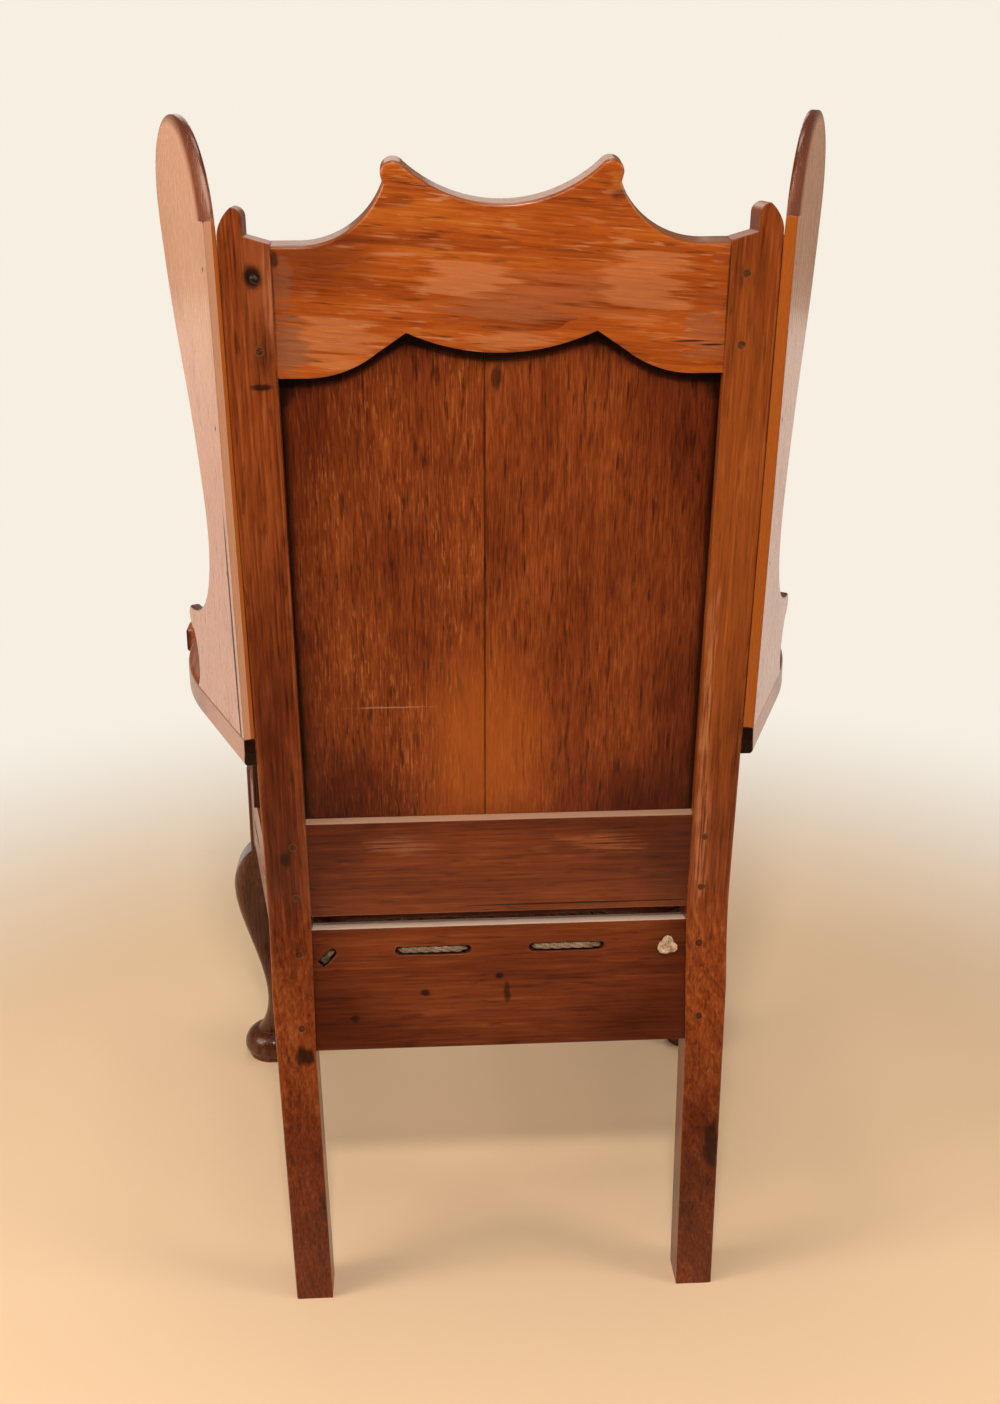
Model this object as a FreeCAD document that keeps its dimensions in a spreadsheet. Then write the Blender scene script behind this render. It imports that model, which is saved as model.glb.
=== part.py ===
import FreeCAD, Part
import math
import os
import types

import Sketcher

Vector = FreeCAD.Vector
Rotation = FreeCAD.Rotation
Placement = FreeCAD.Placement

doc = FreeCAD.newDocument("WingChair")
sheet = doc.addObject("Spreadsheet::Sheet", "Sizes")

# Driving sizes in millimetres and degrees. The chair faces -Y, and its left side is +X.
driving = {
    # fits
    "fit_gap": 0.15,
    "soft_gap": 1.0,
    # back posts
    "seat_level": 415,
    "back_half": 198,
    "post_width": 44,
    "post_depth": 42,
    "back_rake": 10.7,
    "leg_rake": 8.1,
    "post_bend": 300,
    "post_foot_inset": 9,
    "post_foot_width": 39,
    "post_edge": 2.5,
    "shoulder_rise": 713,
    "ear_rise": 24,
    "ear_width": 22,
    "ear_round": 9,
    # tenons and pegs
    "tenon_length": 24,
    "tenon_thick": 8,
    "tenon_shoulder": 12,
    "tenon_wall": 3,
    "peg_width": 8,
    "peg_length": 28,
    "peg_inset": 14,
    # crest rail, heights measured up the back from the seat level
    "crest_thick": 22,
    "crest_recess": 3,
    "crest_foot": 600,
    "crest_cusp": 640,
    "crest_cusp_half": 84,
    "crest_drop": 621,
    "crest_lobe_round": 100,
    "crest_flat": 20,
    "crest_joint": 716,
    "crest_scoop": 78,
    "crest_horn_half": 93,
    "crest_horn_base": 767,
    "crest_horn_round": 10.8,
    "crest_dip": 750,
    "crest_edge": 3,
    # panel of two planks
    "panel_setback": 14,
    "panel_thick": 9,
    "panel_top": 652,
    "panel_groove": 8,
    "plank_joint": 15,
    "plank_gap": 0.4,
    # lower back rail
    "low_rail_foot": 16,
    "low_rail_height": 115,
    "low_rail_thick": 24,
    # seat rails
    "rear_rail_height": 134,
    "rear_rail_recess": 2,
    "rail_thick": 24,
    "side_rail_recess": 4,
    "rail_rise": 15,
    "rail_height": 90,
    # front legs
    "leg_block": 46,
    "leg_spread": 83,
    "leg_forward": 471,
    "knee_drop": 68,
    "knee_size": 60,
    "knee_throw": 20,
    "calf_drop": 66,
    "calf_size": 44,
    "calf_throw": 12,
    "ankle_height": 98,
    "ankle_size": 35,
    "ankle_throw": -5,
    "foot_throw": 9,
    "foot_radius": 39,
    "foot_height": 40,
    "disc_radius": 33,
    "disc_height": 6,
    # knee brackets
    "bracket_length": 46,
    "block_drop": 26,
    "bracket_thick": 20,
    # wings
    "wing_splay": 19.8,
    "wing_thick": 10.5,
    "wing_wedge": 38,
    "wing_round": 26,
    "wing_round_fade": 11,
    "wing_round_depth": 8,
    "wing_lip": 0.5,
    "wing_edge": 2.5,
    "wing_depth": 172,
    "wing_shoulder": 728,
    "wing_waist": 86,
    "wing_waist_height": 455,
    "wing_toe": 205,
    "wing_toe_height": 313,
    "wing_toe_round": 13,
    # arms and their supports
    "arm_rise": 231,
    "arm_thick": 31,
    "arm_edge": 5,
    "arm_overhang": 0,
    "arm_run": 180,
    "arm_reach": 422,
    "hand_spread": 115,
    "hand_round": 36,
    "support_forward": 330,
    "support_depth": 34,
    "support_width": 25,
    "support_straight": 55,
    # cord, laced through the four seat rails
    "cord_width": 7,
    "cord_slack": 2.6,
    "cord_bend": 7.5,
    "cord_margin": 20.5,
    "cord_drop": 26,
    "cord_sink": 2.5,
    "cord_slot_depth": 11.5,
    "cross_pitch": 72,
    "cross_start": 95,
    "knot_radius": 11,
    # loose squab
    "squab_thick": 66,
    "squab_crown": 12,
    "squab_sag": 9,
    "squab_corner": 18,
    # nails
    "nail_width": 4,
    "nail_grip": 20,
    "nail_inset": 15,
}

for row, (alias, amount) in enumerate(driving.items(), 1):
    sheet.set("A%d" % row, alias)
    sheet.set("B%d" % row, str(amount))
    sheet.setAlias("B%d" % row, alias)
doc.recompute()


# A length or angle that knows both its number and the sheet expression it came from.
class Size:
    def __init__(self, value, text):
        self.value = value
        self.text = text

    def __add__(self, other):
        other = as_size(other)
        return Size(self.value + other.value, "(%s + %s)" % (self.text, other.text))

    def __sub__(self, other):
        other = as_size(other)
        return Size(self.value - other.value, "(%s - %s)" % (self.text, other.text))

    def __mul__(self, other):
        other = as_size(other)
        return Size(self.value * other.value, "(%s * %s)" % (self.text, other.text))

    def __truediv__(self, other):
        other = as_size(other)
        return Size(self.value / other.value, "(%s / %s)" % (self.text, other.text))

    def __rsub__(self, other):
        return as_size(other) - self

    def __rtruediv__(self, other):
        return as_size(other) / self

    def __neg__(self):
        return 0 - self

    __radd__ = __add__
    __rmul__ = __mul__


def as_size(item):
    return item if isinstance(item, Size) else Size(float(item), "(%r)" % float(item))


def sine(angle):
    return Size(math.sin(math.radians(angle.value)), "sin(%s)" % angle.text)


def cosine(angle):
    return Size(math.cos(math.radians(angle.value)), "cos(%s)" % angle.text)


def tangent(angle):
    return Size(math.tan(math.radians(angle.value)), "tan(%s)" % angle.text)


def bow(half_chord, rise):
    return (half_chord * half_chord + rise * rise) / (2 * rise)


# The arc that leaves a point in a given direction and ends at another: its corner for the outline
# and the direction in which it arrives.
def sweep(start, way, end):
    run, rise = [as_size(b) - a for a, b in zip(start, end)]
    span = run * run + rise * rise
    side = way[0] * rise - way[1] * run
    turn = LEFT if side.value > 0 else RIGHT
    along = 2 * (way[0] * run + way[1] * rise) / span
    return (*end, turn * span / (2 * side), turn), (along * run - way[0], along * rise - way[1])


def number(item):
    return as_size(item).value


def point(x, y, z=0):
    return Vector(number(x), number(y), number(z))


size = types.SimpleNamespace(**{alias: Size(sheet.get(alias), "Sizes." + alias) for alias in driving})
LEFT = 1
RIGHT = -1


def bind(item, name, value):
    item.setExpression(name, as_size(value).text)


# Sketches and features

def new_body(label, frame):
    body = doc.addObject("PartDesign::Body", label)
    body.Placement = frame
    return body


def new_sketch(body, role, offset=0, shift=(0, 0)):
    sketch = body.newObject("Sketcher::SketchObject", body.Name + "_outline")
    plane = [feature for feature in body.Origin.OriginFeatures if feature.Role == role][0]
    sketch.AttachmentSupport = [(plane, "")]
    sketch.MapMode = "FlatFace"
    sketch.AttachmentOffset = Placement(point(*shift, offset), Rotation())
    return sketch


def edge_between(start, end, radius, turn):
    if radius is None:
        return Part.LineSegment(start, end), (1, 2)
    chord = end - start
    side = Vector(-chord.y, chord.x, 0).normalize() * turn
    reach = math.sqrt(max(0.0, radius ** 2 - (chord.Length / 2) ** 2))
    circle = Part.Circle((start + end) / 2 + side * reach, Vector(0, 0, 1), radius)
    first, last = (start, end) if turn == LEFT else (end, start)
    arc = Part.ArcOfCircle(circle, circle.parameter(first), circle.parameter(last))
    return arc, (1, 2) if turn == LEFT else (2, 1)


# Draws a closed outline. A corner is (x, y), or (x, y, radius, turn) where an arc arrives.
def draw(sketch, corners):
    base = sketch.GeometryCount
    ends = []
    count = len(corners)
    for index, corner in enumerate(corners):
        target = corners[(index + 1) % count]
        radius, turn = target[2:] if len(target) > 2 else (None, LEFT)
        bend = None if radius is None else number(radius)
        geometry, order = edge_between(point(*corner[:2]), point(*target[:2]), bend, turn)
        sketch.addGeometry(geometry, False)
        ends.append(order)
        if radius is not None:
            held = sketch.addConstraint(Sketcher.Constraint("Radius", base + index, bend))
            bind(sketch, "Constraints[%d]" % held, radius)
    for index, corner in enumerate(corners):
        follow = (index + 1) % count
        sketch.addConstraint(Sketcher.Constraint("Coincident", base + index, ends[index][1],
                                                 base + follow, ends[follow][0]))
        for kind, place in (("DistanceX", corner[0]), ("DistanceY", corner[1])):
            held = sketch.addConstraint(Sketcher.Constraint(kind, -1, 1, base + index, ends[index][0],
                                                            number(place)))
            bind(sketch, "Constraints[%d]" % held, place)


# The other half of an outline, reflected in the Y axis and run backwards.
def reflected(corners):
    half = []
    for index in reversed(range(len(corners))):
        bend = corners[index + 1][2:] if index + 1 < len(corners) else ()
        half.append((-as_size(corners[index][0]), corners[index][1], *bend))
    return half


def rectangle(low_x, low_y, high_x, high_y):
    return [(low_x, low_y), (high_x, low_y), (high_x, high_y), (low_x, high_y)]


def pad(body, sketch, length, reverse=False):
    feature = body.newObject("PartDesign::Pad", body.Name + "_pad")
    feature.Profile = sketch
    feature.Reversed = reverse
    bind(feature, "Length", length)
    sketch.Visibility = False
    return feature


def pocket(body, sketch, length=None, reverse=False):
    doc.recompute()
    before = body.Shape.Volume
    feature = body.newObject("PartDesign::Pocket", body.Name + "_pocket")
    feature.Profile = sketch
    feature.Reversed = reverse
    if length is None:
        feature.Type = "ThroughAll"
        feature.Midplane = True
    else:
        bind(feature, "Length", length)
    doc.recompute()
    if body.Shape.Volume > before - 1:
        raise RuntimeError(body.Label + ": a pocket cuts nothing")
    return feature


def fillet(body, radius, wanted):
    doc.recompute()
    base = body.Tip
    names = ["Edge%d" % index for index, edge in enumerate(base.Shape.Edges, 1) if wanted(edge)]
    feature = body.newObject("PartDesign::Fillet", body.Name + "_round")
    feature.Base = (base, names)
    bind(feature, "Radius", radius)
    return feature


def block(name, frame, corner, extent):
    item = doc.addObject("Part::Box", name)
    for prop, value in zip(("Length", "Width", "Height"), extent):
        bind(item, prop, value)
    item.Placement = frame.multiply(Placement(point(*corner), Rotation()))
    return item


def rod(name, frame, centre, radius, length):
    item = doc.addObject("Part::Cylinder", name)
    bind(item, "Radius", radius)
    bind(item, "Height", length)
    item.Placement = frame.multiply(Placement(point(*centre), Rotation()))
    return item


def fused(name, items):
    item = doc.addObject("Part::MultiFuse", name)
    item.Shapes = items
    return item


def cut(name, base, tools):
    item = doc.addObject("Part::Cut", name)
    item.Base = base
    item.Tool = tools[0] if len(tools) == 1 else fused(name + "_cutters", tools)
    return item


def group(name, items):
    item = doc.addObject("Part::Compound", name)
    item.Links = items
    return item


nodes = {}


def node(label, item):
    item.Label = label
    nodes[label] = item
    return item


def mirrored(name, item):
    twin = doc.addObject("Part::Mirroring", name)
    twin.Source = item
    twin.Normal = Vector(1, 0, 0)
    return twin


def both_sides(name, item):
    node("left_" + name, item)
    node("right_" + name, mirrored("right_" + name, item))


# Frames. The origin is on the floor under the middle of the chair's box.
horn_top = size.crest_horn_base + 2 * size.crest_horn_round
arris_rise = horn_top - size.crest_edge
arris_depth = size.crest_recess + size.crest_edge
back_reach = number(arris_rise * sine(size.back_rake) - arris_depth * cosine(size.back_rake)
                    + size.crest_edge)
knee_reach = number(size.knee_throw + size.knee_size / 2)
front_reach = size.leg_forward.value + max(knee_reach, number(size.foot_throw + size.foot_radius))
frame_shift = (front_reach - back_reach) / 2
floor_frame = Placement(Vector(0, frame_shift, 0), Rotation())
seat_frame = Placement(Vector(0, frame_shift, size.seat_level.value), Rotation())


# A frame whose y axis climbs along a raked back face and whose z axis points to the front.
def raked(angle):
    return seat_frame.multiply(Placement(Vector(), Rotation(Vector(1, 0, 0), 90 - angle)))


back_frame = raked(size.back_rake.value)
rear_leg_frame = raked(-size.leg_rake.value)
post_outer = size.back_half + size.post_width
post_foot_in = size.back_half - size.post_foot_inset
shoulder_level = size.seat_level + size.shoulder_rise
ear_level = shoulder_level + size.ear_rise
leg_half = size.back_half + size.leg_spread
hand_half = post_outer + size.hand_spread
arm_top = size.seat_level + size.arm_rise
rail_top = size.seat_level + size.rail_rise
rail_foot = rail_top - size.rail_height
cord_hole = size.cord_width + size.cord_slack

# The wing's inner face holds the back arris of the post and turns out from it by the splay.
splay = math.radians(size.wing_splay.value)
climb = point(0, sine(size.back_rake), cosine(size.back_rake))
ahead = Vector(math.sin(splay), -math.cos(splay), 0)
inward = ahead.cross(climb).normalize()
upward = inward.cross(ahead)
wing_root = seat_frame.multVec(point(post_outer, -size.wing_lip))
wing_frame = Placement(wing_root, Rotation(ahead, upward, inward, "XYZ"))
wing_lean = -climb.dot(ahead) / climb.dot(upward)

# The side seat rails run from the outer face of the post to the outer face of the front leg.
leg_outer = leg_half + size.leg_block / 2
leg_back = size.leg_forward - size.leg_block / 2
side_turn = math.atan2(number(leg_outer - post_outer), number(leg_back - size.post_depth))
side_length = math.hypot(number(leg_outer - post_outer), number(leg_back - size.post_depth))
side_start = floor_frame.multVec(point(post_outer, -size.post_depth))
side_ahead = Vector(math.sin(side_turn), -math.cos(side_turn), 0)
side_inward = side_ahead.cross(Vector(0, 0, 1))
side_start += side_inward * size.side_rail_recess.value
side_frame = Placement(side_start, Rotation(side_ahead, Vector(0, 0, 1), side_inward, "XYZ"))
front_frame = floor_frame.multiply(Placement(Vector(0, -number(size.leg_forward - size.leg_block / 2), 0),
                                             Rotation(Vector(1, 0, 0), 90)))

# Places that several pieces share, up the back, across the posts and through the thickness.
tenon_back = size.panel_setback - 1 - size.tenon_thick
tenon_root = size.back_half - size.crest_flat
tenon_end = size.back_half + size.tenon_length
low_rail_top = size.low_rail_foot + size.low_rail_height
panel_foot = low_rail_top - size.panel_groove
crest_tenon = (size.crest_foot + size.tenon_shoulder, size.crest_joint - size.tenon_shoulder)
low_tenon = (size.low_rail_foot + size.tenon_shoulder, low_rail_top - size.tenon_shoulder)
rear_tenon = (size.tenon_shoulder - size.rear_rail_height, -size.tenon_shoulder)
side_tenon = (rail_foot + size.tenon_shoulder, rail_top - size.tenon_shoulder)
side_tenon_back = (size.rail_thick - size.tenon_thick) / 2
front_rail_back = size.leg_block - size.rail_thick - size.crest_recess
front_clear_half = leg_half - size.leg_block / 2
side_tenon_front = size.side_rail_recess + side_tenon_back + size.tenon_thick
leg_tenon = front_rail_back + side_tenon_back - size.tenon_wall - side_tenon_front * math.sin(side_turn)
leg_tenon = leg_tenon / math.cos(side_turn)
arm_foot = arm_top - size.arm_thick
arm_mid_rise = arm_foot + size.arm_thick / 2 - size.seat_level
waste = 6


# Back posts: one bent stick each, the leg raked back below the seat and the back raked above it.

def post_body():
    body = new_body("left_post_stick", floor_frame)
    depth = size.post_depth
    bend = (size.back_rake + size.leg_rake) / 2
    lean = (size.back_rake - size.leg_rake) / 2
    stretch = size.post_bend * tangent(bend)
    low = (stretch * sine(size.leg_rake), size.seat_level - stretch * cosine(size.leg_rake))
    high = (stretch * sine(size.back_rake), size.seat_level + stretch * cosine(size.back_rake))
    heel = size.seat_level * tangent(size.leg_rake)
    stock_top = ear_level + waste / 2
    top_back = (stock_top - size.seat_level) * tangent(size.back_rake)
    side_view = new_sketch(body, "YZ_Plane", post_foot_in)
    draw(side_view, [
        (heel - depth / cosine(size.leg_rake), 0),
        (heel, 0),
        low,
        (*high, size.post_bend, RIGHT),
        (top_back, stock_top),
        (top_back - depth / cosine(size.back_rake), stock_top),
        (-depth * cosine(lean) / cosine(bend), size.seat_level + depth * sine(lean) / cosine(bend)),
    ])
    pad(body, side_view, post_outer - post_foot_in)

    rail_level = size.seat_level - size.rear_rail_height * cosine(size.leg_rake)
    joint_level = size.seat_level + (size.crest_joint + size.crest_recess) * cosine(size.back_rake)
    ear_inner = post_outer - size.ear_width
    outside = post_outer + waste
    inside = post_foot_in - waste
    front_view = new_sketch(body, "XZ_Plane")
    draw(front_view, [
        (post_foot_in, 0),
        (size.back_half, rail_level),
        (size.back_half, joint_level),
        (ear_inner, shoulder_level),
        (ear_inner, ear_level - size.ear_round),
        (ear_inner + size.ear_round, ear_level, size.ear_round, RIGHT),
        (post_outer, shoulder_level, 4 * size.ear_round, RIGHT),
        (outside, shoulder_level),
        (outside, stock_top + waste),
        (inside, stock_top + waste),
        (inside, 0),
    ])
    draw(front_view, [
        (post_foot_in + size.post_foot_width, 0),
        (outside, 0),
        (outside, rail_foot),
        (post_outer, rail_foot),
    ])
    pocket(body, front_view)
    middle = number(post_foot_in + size.post_foot_width)

    def outer_arris(edge):
        return edge.BoundBox.ZLength > 2 * size.arm_thick.value and edge.CenterOfMass.x > middle

    fillet(body, size.post_edge, outer_arris)
    return body


def tenon_block(name, frame, low, high, reach, back, thick, slack=0):
    start = as_size(reach[0]) - slack
    end = as_size(reach[1]) + slack
    return block(name, frame, (start, low - slack, back - slack),
                 (end - start, high - low + 2 * slack, thick + 2 * slack))


def peg_spots(tenon):
    return (tenon[0] + size.peg_inset, tenon[1] - size.peg_inset)


peg_across = size.back_half + size.peg_inset
peg_rows = {
    "crest": (back_frame, crest_tenon),
    "lower_back_rail": (back_frame, low_tenon),
    "rear_seat_rail": (rear_leg_frame, rear_tenon),
}


def peg_hole(name, frame, across, spot):
    return rod(name + "_peg_hole", frame, (across, spot, -waste), size.peg_width / 2,
               size.peg_length + waste)


def post_holes():
    holes = []
    for name, (frame, tenon) in peg_rows.items():
        for spot in peg_spots(tenon):
            holes.append(peg_hole(name, frame, peg_across, spot))
    return holes


def post_mortises():
    gap = size.fit_gap
    reach = (size.back_half - waste, tenon_end)
    cutters = []
    for name, (frame, tenon) in peg_rows.items():
        cutters.append(tenon_block(name + "_mortise", frame, *tenon, reach, tenon_back,
                                   size.tenon_thick, gap))
    side_reach = (-size.tenon_length, size.post_depth)
    cutters.append(tenon_block("side_rail_mortise", side_frame, *side_tenon, side_reach, side_tenon_back,
                               size.tenon_thick, gap))
    cutters.append(tenon_block("panel_groove_cutter", back_frame, panel_foot, size.panel_top,
                               (size.back_half - waste, size.back_half + size.panel_groove),
                               size.panel_setback, size.panel_thick, gap))
    return cutters


wing_tilt = math.degrees(math.atan(wing_lean))
wing_edge_frame = wing_frame.multiply(Placement(Vector(), Rotation(Vector(0, 0, 1), wing_tilt)))
wing_foot_run = number(arm_top - size.seat_level) / climb.z
wing_shoulder_run = number(shoulder_level - size.seat_level) / climb.z


wing_nail_rows = 4


def wing_nail_spots():
    margin = 2 * size.nail_inset.value
    low = wing_foot_run + margin
    high = wing_shoulder_run - margin
    return [low + (high - low) * row / (wing_nail_rows - 1) for row in range(wing_nail_rows)]


def wing_nail_shanks(extra):
    start = -size.wing_thick - extra
    length = size.wing_thick + size.nail_grip + extra
    radius = size.nail_width / 2
    return [rod("wing_nail_shank", wing_edge_frame, (size.nail_inset, spot, start), radius, length)
            for spot in wing_nail_spots()]


post_stick = post_body()
post_cutters = post_mortises() + post_holes() + wing_nail_shanks(waste)
left_post = cut("left_post_cut", post_stick, post_cutters)
both_sides("back_post", left_post)


# Rails across the back: a board with a bar in each end that stands out as its tenon.

def cross_board(label, frame, recess, outline, thick, tenon):
    body = new_body(label + "_board", frame.multiply(Placement(point(0, 0, recess), Rotation())))
    face = new_sketch(body, "XY_Plane")
    draw(face, outline)
    pad(body, face, thick)
    bar = new_sketch(body, "XY_Plane", tenon_back - recess)
    draw(bar, rectangle(tenon_root, tenon[0], tenon_end, tenon[1]))
    draw(bar, rectangle(-tenon_end, tenon[0], -tenon_root, tenon[1]))
    pad(body, bar, size.tenon_thick)
    return body


def crest_outline():
    horn_in = size.crest_horn_half - size.crest_horn_round + 1
    horn_out = size.crest_horn_half + size.crest_horn_round - 1
    horn_foot = size.crest_horn_base + size.crest_horn_round - 3
    horn_neck = horn_foot + 7
    lobe_end = size.crest_cusp_half + 26
    lobe_rise = size.crest_cusp - 18
    flat_end = size.back_half - size.crest_flat
    lobe_bow = bow(size.crest_cusp_half, size.crest_cusp - size.crest_drop)
    half = [
        (0, size.crest_drop, lobe_bow, LEFT),
        (size.crest_cusp_half, size.crest_cusp, lobe_bow, LEFT),
        (lobe_end, lobe_rise),
        (flat_end, size.crest_foot, size.crest_lobe_round, LEFT),
        (size.back_half, size.crest_foot),
        (size.back_half, size.crest_joint),
        (flat_end, size.crest_joint),
        (size.crest_horn_half + 8, size.crest_horn_base, size.crest_scoop, RIGHT),
        (horn_out, horn_foot),
        (horn_in, horn_neck, size.crest_horn_round, LEFT),
        (0, size.crest_dip, bow(horn_in, horn_neck - size.crest_dip), RIGHT),
    ]
    return half + reflected(half)[1:-1]


def crest_rail():
    body = cross_board("crest_rail", back_frame, size.crest_recess, crest_outline(), size.crest_thick,
                       crest_tenon)
    rebate = new_sketch(body, "XY_Plane", size.panel_setback - size.fit_gap - size.crest_recess)
    low = size.crest_foot - waste
    draw(rebate, rectangle(-size.back_half, low, size.back_half, size.panel_top + size.fit_gap))
    pocket(body, rebate, size.crest_thick, True)

    def upper_arris(edge):
        on_back = edge.BoundBox.ZLength < 0.01 and abs(edge.CenterOfMass.z) < 0.01
        return on_back and edge.CenterOfMass.y > size.crest_joint.value + 1

    fillet(body, size.crest_edge, upper_arris)
    return body


def lower_back_rail():
    outline = rectangle(-size.back_half, size.low_rail_foot, size.back_half, low_rail_top)
    body = cross_board("lower_back_rail", back_frame, size.crest_recess, outline, size.low_rail_thick,
                       low_tenon)
    groove = new_sketch(body, "XY_Plane", size.panel_setback - size.fit_gap - size.crest_recess)
    draw(groove, rectangle(-size.back_half, panel_foot, size.back_half, low_rail_top + waste))
    pocket(body, groove, size.panel_thick + 2 * size.fit_gap, True)
    return body


def rear_seat_rail():
    outline = rectangle(-size.back_half, -size.rear_rail_height, size.back_half, 0)
    return cross_board("rear_seat_rail", rear_leg_frame, size.rear_rail_recess, outline,
                       size.rail_thick, rear_tenon)


def row_peg_holes(row):
    frame, tenon = peg_rows[row]
    return [peg_hole(row, frame, side * peg_across, spot) for spot in peg_spots(tenon) for side in (1, -1)]


node("crest_rail", cut("crest_rail_cut", crest_rail(), row_peg_holes("crest")))
node("lower_back_rail", cut("lower_back_rail_cut", lower_back_rail(), row_peg_holes("lower_back_rail")))
rear_board = cut("rear_board_cut", rear_seat_rail(), row_peg_holes("rear_seat_rail"))


# Back panel of two planks side by side, held in the grooves and behind the crest.
def plank(label, start, end):
    foot = panel_foot + size.fit_gap
    node(label, block(label, back_frame, (start, foot, size.panel_setback),
                      (end - start, size.panel_top - foot, size.panel_thick)))


panel_half = size.back_half + size.panel_groove - size.plank_gap
plank("left_back_plank", size.plank_joint + size.plank_gap / 2, panel_half)
plank("right_back_plank", -panel_half, size.plank_joint - size.plank_gap / 2)


# Pegs through the rail tenons. The crest's upper left hole holds a sunk iron pin instead.
def peg(row, side, spot):
    frame = peg_rows[row][0]
    return rod(row + "_peg", frame, (side * peg_across, spot, 0), size.peg_width / 2, size.peg_length)


for row, (frame, tenon) in peg_rows.items():
    spots = [(side, spot) for side in (1, -1) for spot in peg_spots(tenon)]
    if row == "crest":
        spots.remove((1, spots[1][1]))
    node(row + "_pegs", group(row + "_peg_group", [peg(row, side, spot) for side, spot in spots]))


pin_sink = size.nail_width
pin_place = (peg_across, peg_spots(crest_tenon)[1], pin_sink)
node("crest_iron_pin", rod("crest_iron_pin_rod", back_frame, pin_place, size.peg_width / 2,
                           size.peg_length - pin_sink))


# Front legs: a square block at the seat, a thrown knee, a thin ankle and a turned pad foot.
leg_frame = floor_frame.multiply(Placement(point(leg_half, -size.leg_forward), Rotation()))


def rounded_square(centre, width, radius):
    x, y = centre
    half = width / 2
    flat = half - radius
    return [
        (x - flat, y - half, radius, LEFT),
        (x + flat, y - half),
        (x + half, y - flat, radius, LEFT),
        (x + half, y + flat),
        (x + flat, y + half, radius, LEFT),
        (x - flat, y + half),
        (x - half, y + flat, radius, LEFT),
        (x - half, y - flat),
    ]


def leg_section(body, height, width, throw, roundness):
    section = new_sketch(body, "XY_Plane", height)
    draw(section, rounded_square((throw, -as_size(throw)), width, width * roundness))
    return section


def front_leg():
    body = new_body("left_front_leg_stick", leg_frame)
    block_foot = rail_foot - size.block_drop
    knee_level = block_foot - size.knee_drop
    calf_level = knee_level - size.calf_drop
    top = leg_section(body, block_foot, size.leg_block, 0, 0.08)
    pad(body, top, rail_top - block_foot)
    sections = [
        leg_section(body, block_foot, size.leg_block, 0, 0.08),
        leg_section(body, knee_level, size.knee_size, size.knee_throw, 0.3),
        leg_section(body, calf_level, size.calf_size, size.calf_throw, 0.38),
        leg_section(body, size.ankle_height, size.ankle_size, size.ankle_throw, 0.46),
        leg_section(body, size.foot_height - size.disc_height / 2, size.calf_size, size.foot_throw, 0.48),
    ]
    loft = body.newObject("PartDesign::AdditiveLoft", "left_front_leg_loft")
    loft.Profile = sections[0]
    loft.Sections = sections[1:]
    doc.recompute()
    turning = new_sketch(body, "XZ_Plane", size.foot_throw, (size.foot_throw, 0))
    widest = size.disc_height + size.foot_height / 4
    draw(turning, [
        (0, 0),
        (size.disc_radius, 0),
        (size.disc_radius, size.disc_height),
        (size.foot_radius, widest, size.foot_height / 3, LEFT),
        (size.calf_size / 2, size.foot_height, size.foot_height * 0.6, LEFT),
        (0, size.foot_height),
    ])
    foot = body.newObject("PartDesign::Revolution", "left_front_leg_foot")
    foot.Profile = turning
    foot.ReferenceAxis = (turning, ["V_Axis"])
    foot.Angle = 360
    return body


front_tenon_reach = (front_clear_half - size.tenon_length, front_clear_half + size.tenon_length)


def leg_mortises():
    gap = size.fit_gap
    reach = (side_length - size.tenon_length, side_length + leg_tenon)
    return [
        tenon_block("leg_side_mortise", side_frame, *side_tenon, reach,
                    side_tenon_back, size.tenon_thick, gap),
        tenon_block("leg_front_mortise", front_frame, *side_tenon, front_tenon_reach,
                    front_rail_back + side_tenon_back, size.tenon_thick, gap),
    ]


left_leg = cut("left_front_leg_cut", front_leg(), leg_mortises())
both_sides("front_leg", left_leg)


# Side seat rails. Each runs into the post and the leg and is cut back by them, its tenons left in
# the mortises.
def side_rail():
    body = new_body("left_side_rail_board", side_frame)
    face = new_sketch(body, "XY_Plane")
    draw(face, rectangle(-size.post_depth / 3, rail_foot, side_length + leg_tenon / 2, rail_top))
    pad(body, face, size.rail_thick)
    bar = new_sketch(body, "XY_Plane", side_tenon_back)
    draw(bar, rectangle(-size.tenon_length, side_tenon[0], side_length + leg_tenon, side_tenon[1]))
    pad(body, bar, size.tenon_thick)
    return body


def front_rail():
    body = new_body("front_seat_rail_board", front_frame)
    face = new_sketch(body, "XY_Plane", front_rail_back)
    draw(face, rectangle(-front_clear_half, rail_foot, front_clear_half, rail_top))
    pad(body, face, size.rail_thick)
    bar = new_sketch(body, "XY_Plane", front_rail_back + side_tenon_back)
    reach = front_tenon_reach[1]
    draw(bar, rectangle(-reach, side_tenon[0], reach, side_tenon[1]))
    pad(body, bar, size.tenon_thick)
    return body


side_board = cut("left_side_rail_fitted", side_rail(), [left_post, left_leg])
front_board = front_rail()


# Shaped brackets under the rails at each knee.
def knee_bracket(label, frame, corner, back):
    body = new_body(label + "_board", frame)
    face = new_sketch(body, "XY_Plane", back)
    drop = rail_foot - size.block_drop
    inside = corner + waste
    draw(face, [
        (corner - size.bracket_length, rail_foot),
        (corner - size.bracket_thick / 4, drop, size.bracket_length, RIGHT),
        (inside, drop),
        (inside, rail_foot),
    ])
    pad(body, face, size.bracket_thick)
    return cut(label + "_fitted", body, [left_leg])


side_bracket = knee_bracket("side_bracket", side_frame, as_size(side_length), 0)
front_bracket = knee_bracket("front_bracket", front_frame, front_clear_half, front_rail_back)
both_sides("side_knee_bracket", side_bracket)
both_sides("front_knee_bracket", front_bracket)


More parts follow.
